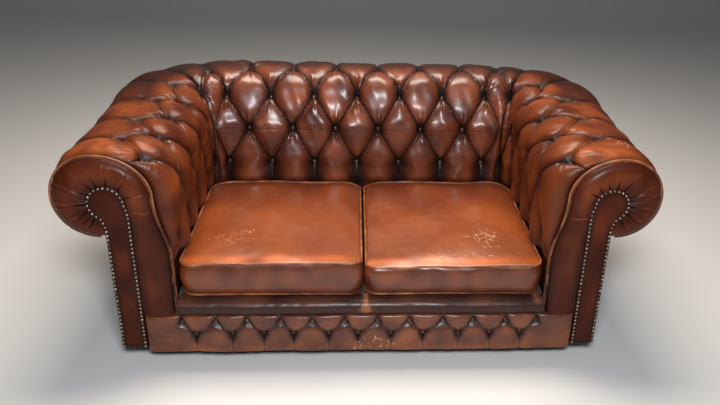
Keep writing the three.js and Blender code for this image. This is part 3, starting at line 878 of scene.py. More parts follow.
right_rows = {name: mirrored_arm(row) for name, row in right_rows.items()}
left_pits, right_pits = arm_pits(left_rows, left_crease), arm_pits(right_rows, right_crease)
back_inner_rows = [*back_rows["top"], *back_rows["upper"], *back_rows["lower"][1:-1], *back_rows["bottom"]]
back_pits = back_inner_rows + [(crease, t) for crease, ts in corner_pits.items() for t in ts]
stretch_creases = list(zip(back_rows["lower"], back_rows["lower"][1:]))

covers = {
    "left_arm": upholster("left_arm", antique_leather, 0.0, left_crease, left_pits,
                          arm_pleats(left_rows, left_crease, 0.0), (-0.002, left_crease), (), 11),
    "back": upholster("back", back_leather, left_crease, right_crease, back_pits, back_pleats(),
                      (left_crease, right_crease), stretch_creases, 22),
    "right_arm": upholster("right_arm", antique_leather, right_crease, whole_run, right_pits,
                           arm_pleats(right_rows, right_crease, whole_run),
                           (right_crease, whole_run + 0.002), (), 33)}


# ---- Buttons ----
# Each button is a small steel mould covered in the same hide. Its cord goes through the stuffing and is
# tied behind, so it sits at the bottom of its pit.

def cut_ball(segments, rings, radius, level):
    """The part of a ball above a level, left open in edit mode, all selected."""
    deselect()
    bpy.ops.mesh.primitive_uv_sphere_add(segments=segments, ring_count=rings, radius=radius,
                                         location=(0, 0, 0))
    edit_all()
    bpy.ops.mesh.bisect(plane_co=(0, 0, level), plane_no=(0, 0, 1), use_fill=True, clear_inner=True)
    bpy.ops.mesh.select_all(action="SELECT")
    return bpy.context.active_object


def button_pattern(radius, thickness):
    below = 0.35         # how much of the ball's lower half is kept
    pattern = cut_ball(16, 10, radius, -radius * below)
    bpy.ops.transform.resize(value=(1, 1, thickness / ((1 + below) * radius)), center_override=(0, 0, 0))
    stop_editing()
    bpy.ops.object.shade_smooth_by_angle(angle=math.radians(50))
    return pattern


def copies(name, pattern, places):
    """Copies of a pattern at (point, outward direction) places, joined as one piece."""
    made = []
    for point, outward in places:
        mesh = pattern.data.copy()
        turn = Vector(outward).to_track_quat("Z", "Y").to_matrix().to_4x4()
        mesh.transform(Matrix.Translation(point) @ turn)
        made.append(stand(name, mesh))
    take_up(made[0])
    for piece in made:
        piece.select_set(True)
    bpy.ops.object.join()
    return made[0]


def discard(pattern):
    """Removes a pattern once its copies are made."""
    mesh = pattern.data
    bpy.data.objects.remove(pattern)
    bpy.data.meshes.remove(mesh)


def button_places(cover, pits, sink=0.0005):
    stuffed, normals, runs = cover
    places = []
    for s, t in pits:
        if runs[0] + 0.004 < s < runs[-1] - 0.004 and t < 0.60:
            r, c = np.abs(runs - s).argmin(), np.abs(heights - t).argmin()
            places.append((stuffed[r, c] + normals[r, c] * sink, normals[r, c]))
    return places


button_leather = hide("button_leather", (0.020, 0.007, 0.004), (0.080, 0.024, 0.013), (0.22, 0.08, 0.04),
                      0.28, grain_depth=0.0004, marks=False)[0]
small_button = button_pattern(0.0088, 0.0065)
for name, pits in (("left_arm", left_pits), ("right_arm", right_pits), ("back", back_inner_rows)):
    buttons = copies(name + "_buttons", small_button, button_places(covers[name], pits))
    finish_piece(buttons, name + "_buttons", button_leather, "antique_leather")
discard(small_button)


# ---- Outside panels ----
# Thin panels of hide over board close the outside of the arms and the back below the rolls. The hide is
# lightly wadded, so it is a little full in the middle and puckered along its tacked edges.

panel_leather = hide("panel_leather", (0.012, 0.004, 0.003), (0.085, 0.021, 0.009), (0.17, 0.045, 0.014),
                     0.40, marks=False)[0]


def outside_panel(node_name, new_name):
    """A copy of the panel with its doubles merged, cut into small faces and filled out from behind."""
    low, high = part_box(node_name)
    piece = nodes[node_name].copy()
    piece.data = nodes[node_name].data.copy()
    bpy.context.scene.collection.objects.link(piece)
    take_up(piece)
    edit_all()
    bpy.ops.mesh.remove_doubles(threshold=0.00005)
    bpy.ops.mesh.dissolve_limited(angle_limit=math.radians(1))
    thin = 1 if high.y - low.y < high.x - low.x else 0
    long = 1 - thin
    face_size, wadding = 0.022, 0.0065
    for axis in (long, 2):
        count = int((high[axis] - low[axis]) / face_size)
        for k in range(1, count):
            place, facing = Vector((0, 0, 0)), Vector((0, 0, 0))
            place[axis] = low[axis] + (high[axis] - low[axis]) * k / count
            facing[axis] = 1
            bpy.ops.mesh.select_all(action="SELECT")
            bpy.ops.mesh.bisect(plane_co=place, plane_no=facing)
    stop_editing()
    co = points_of(piece.data)
    side = 1 if abs(high[thin]) > abs(low[thin]) else -1
    outer = np.abs(co[:, thin]) > abs((low[thin] + high[thin]) / 2)
    ends = np.minimum(co[:, long] - low[long], high[long] - co[:, long])
    edge = np.minimum(ends, co[:, 2] - low.z)
    top = high.z - 0.002 - co[:, 2]
    full = dome(np.minimum(edge, np.maximum(top, 0)) / 0.05)
    puckers = np.sin(co[:, long] * 2 * math.pi / 0.06) * np.exp(-((co[:, 2] - low.z) / 0.035))
    waves = ripple(co[:, [long, 2]], 0.30, 51)
    co[outer, thin] += side * (full * (wadding + 0.0018 * waves + 0.0010 * puckers))[outer]
    move_points(piece.data, co)
    finish_piece(piece, new_name, panel_leather, "antique_leather", node_name)
    bpy.ops.object.shade_smooth_by_angle(angle=math.radians(45))


for place in ("left_outside", "right_outside", "outside_back"):
    outside_panel(place + "_panel", place + "_cover")


# ---- Lower border ----
# A wadded hide border is tacked along the front rail under the lip, with two staggered rows of small
# buttons and pleats folded from button to button. One button has lost its hide and shows its brass.

border_low, border_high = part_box("buttoned_border")
border_upper = [-0.524, -0.427, -0.338, -0.241, -0.149, -0.055, 0.042, 0.136, 0.235, 0.325, 0.423, 0.516]
border_lower = [-0.487, -0.382, -0.292, -0.205, -0.102, -0.016, 0.081, 0.176, 0.283, 0.378, 0.471]


def front_strip(low, high, back_y, front_y, round_top, round_bottom, step):
    """A strip across the front: grid columns run from its top edge at the back, over its face, and down."""
    across = np.arange(low.x, high.x + step / 2, step)
    top = np.linspace(0, math.pi / 2, 9)
    down = np.arange(high.z - round_top - step, low.z + round_bottom, -step)
    profile = [(back_y, high.z), (back_y - (back_y - front_y - round_top) * 0.6, high.z)]
    profile += [(front_y + round_top * (1 - math.sin(a)), high.z - round_top * (1 - math.cos(a)))
                for a in top]
    profile += [(front_y, z) for z in down]
    profile += [(front_y + round_bottom * (1 - math.cos(a)), low.z + round_bottom * (1 - math.sin(a)))
                for a in top]
    profile += [(back_y, low.z)]
    profile = np.array(profile)
    grid = np.zeros((len(across), len(profile), 3))
    grid[:, :, 0] = across[:, None]
    grid[:, :, 1], grid[:, :, 2] = profile[:, 0], profile[:, 1]
    return grid


def push(grid, amount, hold=2):
    """Moves the face of a strip forwards, and leaves its back and its ends alone."""
    amount = amount.copy()
    amount[:, :hold] = 0
    amount[:, -hold:] = 0
    grid[:, :, 1] -= amount
    return grid


def strip_ends(grid, radius):
    ends = np.minimum(grid[:, 0, 0] - grid[0, 0, 0], grid[-1, 0, 0] - grid[:, 0, 0])
    return dome(ends / radius)[:, None]


back_plane = border_high.y
grid = front_strip(border_low, border_high, back_plane, back_plane - 0.010, round_top=0.008,
                   round_bottom=0.010, step=0.0032)
x, z = grid[:, :, 0], grid[:, :, 2]
points = np.stack([x.ravel(), z.ravel()], 1)
upper_z, lower_z = border_high.z - 0.024, border_high.z - 0.067
upper_spots = [(a, upper_z) for a in border_upper]
lower_spots = [(a, lower_z) for a in border_lower]
spots = sorted(upper_spots + lower_spots)
pleats = list(zip(spots, spots[1:]))
pleats += [(a, (a[0] + 0.002, border_low.z - 0.01)) for a in lower_spots]
pleats += [(a, (a[0], border_high.z + 0.01)) for a in upper_spots]
nearest, blend = np.full(len(points), far), np.zeros(len(points))
for a, b in pleats:
    d = distance_to(points, a, b) + 1e-4
    nearest = np.minimum(nearest, d)
    blend += (0.01 / d) ** 4
even = 0.01 * blend ** -0.25
pit = np.min([np.hypot(points[:, 0] - a, points[:, 1] - b) for a, b in spots], axis=0)
shallow = 0.58 * smooth(pit / 0.040)
below = smooth((lower_z - 0.015 - points[:, 1]) / 0.03)
shallow = shallow + (1 - shallow) * 0.55 * below
crown = shallow + (1 - shallow) * dome(even / 0.034)
swell = 0.017 * crown * (1 - 0.25 * below)
swell = swell + 0.002 * ripple(points, 0.20, 71) + 0.0008 * ripple(points, 0.03, 72)
swell -= 0.006 * ridge(pit, 0.009)
swell = swell.reshape(x.shape) * strip_ends(grid, 0.03)
# Fold: dye and painted shade in the pleats and pits. Crest: a painted highlight along the pleats' edges
# below the lower buttons, added to the rub mask.
fold = np.exp(-(nearest / 0.0035) ** 1.2) * (0.85 - 0.45 * below) + ridge(pit, 0.012)
rub = smooth((crown - 0.6) / 0.4) * (0.35 + 0.35 * ripple(points, 0.10, 73)) + 0.15 * below
crest = ridge(even - 0.006, 0.003) * below
border_face = push(grid, swell)
border_cover = tidy_solid(closed_run("border_cover", border_face))
mark(border_cover.data, fold=fold, rub=rub + 0.7 * crest)
border_leather, tree, shader, skin = hide("border_leather", (0.010, 0.004, 0.003), (0.085, 0.021, 0.010),
                                          (0.25, 0.066, 0.020), 0.34, shine=0.40, coat=0.18)
scratch(tree, skin, [((0.045, -0.470, 0.075), (0.110, 0.04, 0.045), 36, 0.030, 0.48),
                     ((0.000, -0.470, 0.055), (0.050, 0.04, 0.020), 30, 0.040, 0.52)])
finish_piece(border_cover, "border_cover", border_leather, "antique_leather", "buttoned_border")

places = []
for a, b in spots:
    near = np.hypot(grid[:, :, 0] - a, grid[:, :, 2] - b)
    near[:, :2] = near[:, -2:] = far
    row, column = np.unravel_index(near.argmin(), near.shape)
    places.append((border_face[row, column] - np.array((0, 0.0005, 0)), (0, -1, 0.15)))
aged_brass = metal("aged_brass", 60, 3.0, (0.10, 0.075, 0.050), (0.40, 0.34, 0.26), (0.36, 0.66), 0.85,
                   0.32)
little_button = button_pattern(0.0072, 0.0055)
bare = spots.index((border_upper[2], upper_z))
bare_button = copies("bare_button", little_button, [places[bare]])
finish_piece(bare_button, "bare_button", aged_brass, "aged_brass")
border_buttons = copies("border_buttons", little_button, places[:bare] + places[bare + 1:])
finish_piece(border_buttons, "border_buttons", button_leather, "antique_leather")
discard(little_button)


# ---- Front lip ----
# A soft roll of hide along the front edge of the seat, above the border, holds the cushions back. Its top
# is rubbed, and worn through to tan where the two cushions meet.

lip_low, lip_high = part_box("front_lip")
lip_low.z = border_high.z + hairline   # the part that shows
grid = front_strip(lip_low, lip_high, lip_high.y, lip_low.y + 0.003, round_top=0.022, round_bottom=0.008,
                   step=0.006)
x, z = grid[:, :, 0], grid[:, :, 2]
bulge = 0.003 * np.sin(np.clip((z - lip_low.z) / (lip_high.z - lip_low.z), 0, 1) * math.pi)
soft = 0.0016 * ripple_on(grid, 0.16, 81) + 0.0005 * ripple_on(grid, 0.04, 82)
lip_cover = tidy_solid(closed_run("lip_cover", push(grid, (bulge + soft) * strip_ends(grid, 0.02))))
rubbed = smooth((z - (lip_high.z - 0.020)) / 0.012) * (0.10 + 0.12 * ripple_on(grid, 0.15, 83))
to_top = smooth((z - lip_high.z + 0.030) / 0.028)
meeting = ridge(x - 0.006, 0.013 - 0.0085 * to_top) * smooth((z - lip_high.z + 0.040) / 0.020)
end_wear = ridge(x - 0.512, 0.010) * smooth((z - lip_high.z + 0.012) / 0.01)
mark(lip_cover.data, fold=(0.6 * smooth((lip_low.z + 0.012 - z) / 0.012)).ravel(),
     rub=(rubbed + 3.0 * meeting + 1.2 * end_wear).ravel())
# The lip's hide is darker than the other covers': painted shade under the overhang of the cushions.
lip_leather = hide("lip_leather", (0.010, 0.004, 0.003), (0.038, 0.013, 0.009), (0.28, 0.095, 0.040),
                   0.38)[0]
finish_piece(lip_cover, "lip_cover", lip_leather, "antique_leather", "front_lip")


# ---- Scroll fronts ----
# The front of each arm is wadded hide, stretched over the scroll board. Its outer edge lies behind the
# piping, and its inner edge is gathered in pleats under the nailed facing.

board_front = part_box("right_arm_front_board")[0].y
facing_low, facing_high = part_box("right_facing")
outside_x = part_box("right_outside_panel")[1].x
head_x, head_z, head_radius = inner_x + 0.148, underside + 0.466, 0.052
facing_inner = facing_low.x
pad_bottom = border_high.z + 0.001


def scroll_edge():
    """The board's outline from the border up the inside and round the scroll, as (x, z)."""
    length, line = section_line(0, 0)
    start = np.stack([np.zeros(8), np.linspace(pad_bottom - underside, seat_v, 9)[:-1]], 1)
    line = np.concatenate([start, line]) + (inner_x, underside)
    length = length_along(line)
    even_steps = np.linspace(0, length[-1], round(length[-1] / 0.0022))
    return np.stack([np.interp(even_steps, length, line[:, axis]) for axis in (0, 1)], 1)


pleat_angles = {
    "left": [(163, 0.10), (131, 0.12), (97, 0.10), (72, 0.20), (50, 0.05), (26, 0.03), (-3, 0.05),
             (-28, 0.2), (-52, 0.35)],
    "right": [(150, 0.25), (128, 0.30), (107, 0.35), (82, 0.28), (58, 0.15), (27, 0.10), (12, 0.05),
              (-6, 0.15), (-30, 0.25), (-55, 0.35)]}
strip_creases = {"left": [0.490], "right": [0.517, 0.477]}


def scroll_front(side, sign, seed):
    """The wadded front of one arm, as a grid from its outer edge (w = 0) to the facing (w = 1)."""
    edge = scroll_edge()
    angle = np.unwrap(np.arctan2(edge[:, 1] - head_z, edge[:, 0] - head_x))
    angle = angle + (2 * math.pi if angle[0] < 0 else 0)
    circle = np.stack([head_x + (head_radius - 0.008) * np.cos(angle),
                       head_z + (head_radius - 0.008) * np.sin(angle)], 1)
    level = np.stack([np.full(len(edge), facing_inner + 0.008), edge[:, 1]], 1)
    rising = np.arange(len(edge)) < np.argmax(edge[:, 1])
    turn = np.where(rising, smooth((edge[:, 1] - 0.43) / 0.11), 1)[:, None]
    hidden = level * (1 - turn) + circle * turn
    w = np.concatenate([[0], np.linspace(0, 1, 34) ** 1.15, [1]])
    grid = np.zeros((len(edge), len(w), 3))
    flat = edge[:, None] * (1 - w[:, None]) + hidden[:, None] * w[:, None]
    grid[:, :, 0], grid[:, :, 2] = flat[:, :, 0], flat[:, :, 1]
    width = np.linalg.norm(hidden - edge, axis=1)[:, None]
    from_edge, from_facing = w * width, (1 - w) * width
    proud = 0.0115 * dome(from_edge / 0.020) + 0.010 * np.sin(math.pi * np.clip(w, 0, 1)) ** 0.8
    proud *= np.clip(width / 0.05, 0.2, 1)
    around = np.degrees(angle)[:, None]
    reach = np.hypot(grid[:, :, 0] - head_x, grid[:, :, 2] - head_z)
    fold, light = np.zeros((2, *reach.shape))
    chance = np.random.default_rng(seed)
    for pleat, start in pleat_angles[side]:
        bend = pleat + chance.uniform(-7, 7) * (w[None, :] - 0.5)
        across = np.radians(around - bend) * reach
        present = smooth((w[None, :] - start) / 0.14) * (turn > 0.5)
        deep = 0.35 + 0.65 * smooth((w[None, :] - 0.45) / 0.45)
        groove = ridge(across, 0.0021) * present
        proud -= groove * 0.0040 * deep - ridge(np.abs(across) - 0.008, 0.006) * present * 0.0012
        fold += groove * 0.75 * deep
        light += ridge(across - 0.0026, 0.0013) * present * (1.1 - 0.6 * deep)
    for crease in strip_creases[side]:
        across = grid[:, :, 2] - crease - 0.05 * (grid[:, :, 0] - inner_x - 0.04)
        present = (turn < 0.9) * smooth(w[None, :] / 0.2) * smooth((0.85 - w[None, :]) / 0.2)
        proud -= ridge(across, 0.003) * present * 0.002
        light += ridge(across - 0.003, 0.002) * present
    gathered = smooth((around + 125) / 20) * smooth((35 - around) / 30) * smooth((w[None, :] - 0.35) / 0.3)
    gather = np.sin(np.radians(around) * 47) + 0.6 * np.sin(np.radians(around) * 31 + 1)
    proud += gather * gathered * 0.0011 * smooth(reach / 0.06)
    proud += 0.0012 * ripple_on(grid, 0.09, seed + 1) * dome(from_edge / 0.03)
    # Fold: dye and painted shade in the pleats and gathers, painted shade beside the facing and beside the
    # piping; the straight strip below the head is darker overall.
    fold += 0.75 * np.exp(-from_facing / 0.017) + 0.5 * np.exp(-from_edge / 0.004)
    fold += (1 - turn) * (0.20 + 0.25 * smooth((0.028 - from_edge) / 0.02))
    fold += gathered * 0.25 * (gather < 0)
    proud[:, 0] = proud[:, -1] = 0
    proud[:, -2] = 0.0115
    grid[:, :, 1] = board_front - 0.0006 - np.clip(proud, 0, 1)
    grid[:, [0, -1], 1] = board_front - 0.0004
    # Rub: the head's upper crest is lighter, rubbed wear and partly a painted highlight; light is a painted
    # highlight beside each pleat and crease.
    rub = 0.40 * np.sin(math.pi * np.clip(w, 0, 1))[None, :] ** 2 * smooth((around - 20) / 60) * turn
    rub = rub + 0.16 * (1 - turn) * ridge(w[None, :] - 0.62, 0.16)
    rub = rub + 0.8 * light + 0.12 * ripple_on(grid, 0.10, seed + 2)
    grid[:, :, 0] *= sign
    piece = tidy_solid(closed_run(side + "_scroll_cover", grid))
    mark(piece.data, fold=fold.ravel(), rub=rub.ravel())
    finish_piece(piece, side + "_scroll_cover", scroll_leather, "antique_leather", side + "_scroll_front")


scroll_leather = hide("scroll_leather", (0.009, 0.003, 0.002), (0.072, 0.012, 0.004),
                      (0.260, 0.058, 0.016), 0.36, patchy=0.6, shine=0.13, coat=0.06)[0]
for side, sign, seed in (("left", -1, 91), ("right", 1, 95)):
    scroll_front(side, sign, seed)


# ---- Piping ----
# A cord covered in a bias strip of hide is sewn between the arm's cover and its scroll front. Its top is
# lighter, rubbed to tan by years of hands and partly a painted highlight, and it is darker below.

piping_leather = hide("piping_leather", (0.020, 0.007, 0.004), (0.11, 0.026, 0.010), (0.44, 0.15, 0.055),
                      0.38, grain_depth=0.0005)[0]


def cord_along(name, points, radius, closed=False):
    """A round cord through points, made a mesh."""
    line = bpy.data.curves.new(name, "CURVE")
    line.dimensions = "3D"
    line.bevel_depth = radius
    line.bevel_resolution = 3
    line.use_fill_caps = True
    spline = line.splines.new("POLY")
    spline.points.add(len(points) - 1)
    spline.points.foreach_set("co", np.concatenate([points, np.ones((len(points), 1))], 1).ravel())
    spline.use_cyclic_u = closed
    cord = stand(name, line)
    take_up(cord)
    bpy.ops.object.convert(target="MESH")
    return tidy_solid(cord, 60)


piping_radius, piping_out = 0.0031, 0.0053
for side, sign in (("left", -1), ("right", 1)):
    line = section_line(piping_out, piping_out)[1]
    above_seat = np.arange(len(line)) >= 40
    line[:, 0] = np.where(above_seat, line[:, 0], -piping_out)
    blend = smooth((line[:, 1] - face_top) / 0.10)
    further_in = piping_out * (1 - blend) * above_seat
    line[:, 0] = np.where(line[:, 1] < roll_v, line[:, 0] - further_in, line[:, 0])
    keep = np.degrees(np.arctan2(line[:, 1] - roll_v, line[:, 0] - roll_u)) > -89
    keep[:140] = True
    line = np.concatenate([[(-piping_out, pad_bottom - underside)], line[keep]])
    path = np.stack([sign * (inner_x + line[:, 0]), np.full(len(line), board_front + 0.0022),
                     underside + line[:, 1]], 1)
    piping = cord_along(side + "_piping", path[::2], piping_radius)
    co = points_of(piping.data)
    # Lighter towards the top: rubbed wear and partly a painted highlight.
    high = smooth((co[:, 2] - 0.42) / 0.14)
    mark(piping.data, fold=0.25 * (1 - high),
         rub=0.10 + 0.50 * high + 0.30 * ripple(co[:, [0, 2]], 0.05, 55 + int(sign)))
    finish_piece(piping, side + "_piping", piping_leather, "antique_leather", side + "_arm_piping")


# ---- Facings and nails ----
# A hide-covered board shaped to the arm hides the tacked edges of the scroll front and the side. Domed
# brass nails, gone dull, run round it a few millimetres inside its edge.

facing_base = facing_high.y
facing_foot = facing_low.z
nail_gap = 0.0128


def facing_sides(z):
    """The facing's two edges at a height."""
    straight_top = head_z - 0.040
    inner = facing_inner
    if z > straight_top:
        lift = np.clip((z - straight_top) / 0.040, 0, 1)
        inner = facing_inner + (head_x - head_radius - facing_inner) * lift ** 2
    outer = outside_x
    neck = head_z - 0.090
    low_turn = -math.pi * 0.36
    neck_x, neck_top = head_x + head_radius * math.cos(low_turn), head_z + head_radius * math.sin(low_turn)
    if z > neck:
        outer = outside_x + (neck_x - outside_x) * np.clip((z - neck) / (neck_top - neck), 0, 1) ** 2
    half = math.sqrt(max(head_radius ** 2 - (z - head_z) ** 2, 0))
    if z > neck_top:
        outer = head_x + half
    if z > head_z:
        inner = head_x - half
    return inner, outer


def facing_outline():
    levels = np.concatenate([np.linspace(facing_foot, head_z, 90),
                             head_z + head_radius * np.sin(np.linspace(0, math.pi / 2, 40)[1:])])
    pairs = np.array([facing_sides(z) for z in levels])
    return levels, pairs


def facing_cover(side, sign, seed):
    levels, pairs = (part[:-1] for part in facing_outline())
    c = np.concatenate([[0], 0.5 - 0.5 * np.cos(math.pi * np.linspace(0, 1, 26)), [1]])
    grid = np.zeros((len(levels), len(c), 3))
    grid[:, :, 0] = pairs[:, :1] * (1 - c) + pairs[:, 1:] * c
    grid[:, :, 2] = levels[:, None]
    x, z = grid[:, :, 0], grid[:, :, 2]
    d = np.minimum(np.minimum(x - pairs[:, :1], pairs[:, 1:] - x),
                   np.where(z > head_z, head_radius - np.hypot(x - head_x, z - head_z), far))
    d = np.minimum(np.maximum(d, 0), z - facing_foot)
    uneven = ripple_on(grid, 0.16, seed + 1)
    front = 0.006 * dome(d / 0.005) + (0.0028 + 0.0008 * ripple_on(grid, 0.10, seed)) * smooth(d / 0.026)
    front += 0.0006 * smooth((d - 0.009) / 0.003)
    grid[:, :, 1] = facing_base - np.maximum(front, 0.0006)
    to_board = board_front - 0.0006 - facing_base
    grid[:, 0, 1] = facing_base + to_board * (levels < pad_bottom - 0.0005)
    grid[:, -1, 1] = facing_base + to_board * (levels < roll_v - roll_up + underside)
    grid[:, :, 0] *= sign
    piece = tidy_solid(closed_run(side + "_facing_cover", grid))
    fold = 0.5 * ridge(d - 0.0085, 0.003) + 0.4 * np.exp(-d / 0.002)
    rub = smooth((d - 0.010) / 0.015) * (0.35 + 0.4 * uneven)
    mark(piece.data, fold=fold.ravel(), rub=rub.ravel())
    finish_piece(piece, side + "_facing_cover", dark_leather, "dark_leather", side + "_facing")


def nail_places(sign):
    """Along both edges and round the head, inside the outline."""
    levels, pairs = facing_outline()
    edge = np.concatenate([np.stack([pairs[:, 0], levels], 1), np.stack([pairs[:, 1], levels], 1)[::-1]])
    along = np.gradient(edge, axis=0)
    inward = np.stack([along[:, 1], -along[:, 0]], 1)
    inward /= np.maximum(np.linalg.norm(inward, axis=1, keepdims=True), 1e-9)
    path = edge + inward * 0.0058
    path = path[path[:, 1] > facing_foot + 0.004]
    length = length_along(path)
    count = round(length[-1] / nail_gap)
    stops = np.linspace(0.004, length[-1] - 0.004, count)
    x, z = np.interp(stops, length, path[:, 0]), np.interp(stops, length, path[:, 1])
    return [((sign * a, facing_base - 0.0061, b), (0, -1, 0)) for a, b in zip(x, z)]


nail_level = 0.0012      # the dome is the part of a ball above this
nail = cut_ball(10, 6, 0.0046, nail_level)
bpy.ops.transform.translate(value=(0, 0, -nail_level))
stop_editing()
bpy.ops.object.shade_smooth_by_angle(angle=math.radians(50))

for side, sign, seed in (("left", -1, 61), ("right", 1, 65)):
    facing_cover(side, sign, seed)
    nails = copies(side + "_nails", nail, nail_places(sign))
    finish_piece(nails, side + "_nails", aged_brass, "aged_brass")
discard(nail)


# ---- Seat cushions ----
# Two loose cushions: a foam core in a boxed hide cover with piping round its top and bottom edges and a
# brass zip behind. The cover is full, so it stands up in a crown and its boxing bulges. Each cover is
# blown up a little against its held seams by Blender's cloth, then creased in code.

def corner_round(points, half, radius):
    """Moves the points of a square grid so that the grid's corners become round."""
    x, y = points[:, 0], points[:, 1]
    a = np.clip((np.abs(x) - (half[0] - radius)) / radius, 0, 1)
    b = np.clip((np.abs(y) - (half[1] - radius)) / radius, 0, 1)
    both = (a > 0) & (b > 0)
    ra, rb = a * np.sqrt(1 - b ** 2 / 2), b * np.sqrt(1 - a ** 2 / 2)
    x = np.where(both, np.sign(x) * (half[0] - radius + radius * ra), x)
    y = np.where(both, np.sign(y) * (half[1] - radius + radius * rb), y)
    return np.stack([x, y], 1)


def cushion_outline(x, y, half):
    """Pulls the sides in a little between the corners."""
    pull = 0.003
    along_x, along_y = np.clip(x / half[0], -1, 1), np.clip(y / half[1], -1, 1)
    x = x * (1 - pull / half[0] * (1 - along_y ** 2))
    y = y * (1 - pull / half[1] * (1 - along_x ** 2))
    return x, y


top_rise, side_rise = 0.027, 0.012       # the most that the stuffing moves the cover
welt_radius, welt_out = 0.0035, 0.0020


def cushion(side, seed):
    """A grid for the top and one for the bottom, joined by rings of boxing, swollen and creased."""
    low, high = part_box(side + "_cushion_cover")
    centre = (low + high) / 2
    half = np.array([(high.x - low.x) / 2 - 0.002, (high.y - low.y) / 2 - 0.003])
    across, deep, tall = 66, 74, 14
    gx, gy = np.linspace(-half[0], half[0], across + 1), np.linspace(-half[1], half[1], deep + 1)
    flat = np.stack(np.meshgrid(gx, gy, indexing="ij"), -1).reshape(-1, 2)
    flat = corner_round(flat, half, np.where(flat[:, 1] > 0, 0.080, 0.040))
    fx, fy = cushion_outline(flat[:, 0], flat[:, 1], half)
    top_z, bottom_z = high.z - 0.004, low.z + 0.006
    corner_drop, front_drop, tilt = {"left": (0.002, 0.002, 0.9), "right": (0.001, 0.012, 0.35)}[side]
    seam_z = np.linspace(bottom_z, top_z, tall + 1)
    index = np.arange(len(flat)).reshape(across + 1, deep + 1)
    rim = np.concatenate([index[:, 0], index[-1, 1:], index[-2::-1, -1], index[0, -2:0:-1]])
    n = len(flat)
    co = [np.stack([fx, fy, np.full(n, top_z)], 1), np.stack([fx, fy, np.full(n, bottom_z)], 1)]
    rings = [n + rim]
    for k, z in enumerate(seam_z[1:-1]):
        out = 1 + 0.012 * math.sin(math.pi * (k + 1) / tall)
        co.append(np.stack([fx[rim] * out, fy[rim] * out, np.full(len(rim), z)], 1))
        rings.append(2 * n + k * len(rim) + np.arange(len(rim)))
    rings.append(rim)
    faces = []
    for i in range(across):
        for j in range(deep):
            a, b, c, d = index[i, j], index[i + 1, j], index[i + 1, j + 1], index[i, j + 1]
            faces += [(a, b, c, d), (n + a, n + d, n + c, n + b)]
    for lower, upper in zip(rings, rings[1:]):
        for k in range(len(rim)):
            m = (k + 1) % len(rim)
            faces.append((lower[k], lower[m], upper[m], upper[k]))
    co = np.concatenate(co)
    to_top = smooth((co[:, 2] - bottom_z) / (top_z - bottom_z))
    u, v = co[:, 0] / half[0], co[:, 1] / half[1]
    sunk_front = front_drop * (1 - tilt * u) * smooth((-v - 0.2) / 0.8)
    co[:, 2] -= to_top * (sunk_front + corner_drop * smooth((np.abs(u * v) - 0.6) / 0.4))
    co[:, 2] -= to_top * 0.0022 * ripple(co[:, :2], 0.22, seed + 8)
    co[:, :2] *= 1 + 0.010 * (smooth((np.abs(u * v) - 0.62) / 0.38) * to_top)[:, None]
    co[:, :2] *= 1 - 0.0015 * (1 + ripple(co[:, :2], 0.18, seed + 9))[:, None]
    co += np.array(centre) * (1, 1, 0)
    piece = tidy_solid(from_faces(side + "_cushion", co, faces), 180)
    mesh = piece.data
    rest = points_of(mesh)
    held = piece.vertex_groups.new(name="seams")
    held.add([int(i) for i in np.concatenate([rim, n + rim])], 1.0, "REPLACE")
    local = rest - np.array(centre) * (1, 1, 0)
    u, v = local[:, 0] / half[0], local[:, 1] / half[1]
    top, bottom = np.arange(len(rest)) < n, (np.arange(len(rest)) >= n) & (np.arange(len(rest)) < 2 * n)
    cloth_modifier = piece.modifiers.new("cloth", "CLOTH")
    settings = cloth_modifier.settings
    settings.quality = 6
    settings.use_pressure = True
    settings.uniform_pressure_force = 14.0
    settings.effector_weights.gravity = 0
    settings.vertex_group_mass = "seams"
    settings.tension_stiffness = settings.compression_stiffness = 18
    settings.bending_stiffness = 1.2
    cloth_modifier.collision_settings.use_collision = False
    for frame_number in range(1, 21):
        bpy.context.scene.frame_set(frame_number)
    shape = piece.evaluated_get(bpy.context.evaluated_depsgraph_get())
    swollen = points_of(shape.data).copy()
    piece.modifiers.remove(cloth_modifier)
    bpy.context.scene.frame_set(1)
    move = swollen - rest
    size = np.linalg.norm(move, axis=1, keepdims=True)
    cap = np.where(top, top_rise, side_rise)[:, None]
    move *= cap / np.maximum(size, cap)
    shape = rest + move
    points = np.stack([local[:, 0], local[:, 1]], 1)
    inner = smooth((1 - np.maximum(np.abs(u), np.abs(v))) / 0.15)
    uneven = 0.0028 * ripple(points, 0.26, seed) + 0.0003 * ripple(points, 0.06, seed + 1)
    shape[top, 2] += (inner * uneven)[top]
    boxing = ~top & ~bottom
    run = np.stack([local[:, 0] - local[:, 1], rest[:, 2]], 1)
    out = local[:, :2] / np.maximum(np.linalg.norm(local[:, :2], axis=1, keepdims=True), 1e-6)
    level = np.clip((rest[:, 2] - bottom_z) / (top_z - bottom_z - 0.004), 0, 1)
    pucker = 0.0016 * ripple(run * (1, 0.3), 0.05, seed + 2) + 0.0022 * ripple(run, 0.16, seed + 3)
    fullness = 0.0055 + pucker
    shape[boxing, :2] += (out * (fullness * np.sin(math.pi * np.clip(level, 0, 1)) ** 0.7)[:, None])[boxing]
    shape[:, 2] = np.maximum(shape[:, 2], low.z)
    half_gap = 0.0016        # half the gap between the two cushions
    hand = -1 if side == "left" else 1
    shape[:, 0] = hand * np.maximum(hand * shape[:, 0], half_gap)
    move_points(mesh, shape)
    near_rim = 1 - np.maximum(np.abs(u), np.abs(v))
    fold = np.where(top, 0.30 * np.exp(-near_rim / 0.02), 0.14 + 0.40 * np.exp(-(1 - level) / 0.12)
                    + 0.35 * np.exp(-level / 0.15))
    # A band along the top's front edge is lighter: rubbed wear and a painted highlight where the edge rolls
    # over.
    front_wear_and_highlight = ridge(v + 0.92, 0.065) * (0.60 + 0.45 * ripple(points, 0.12, seed + 4))
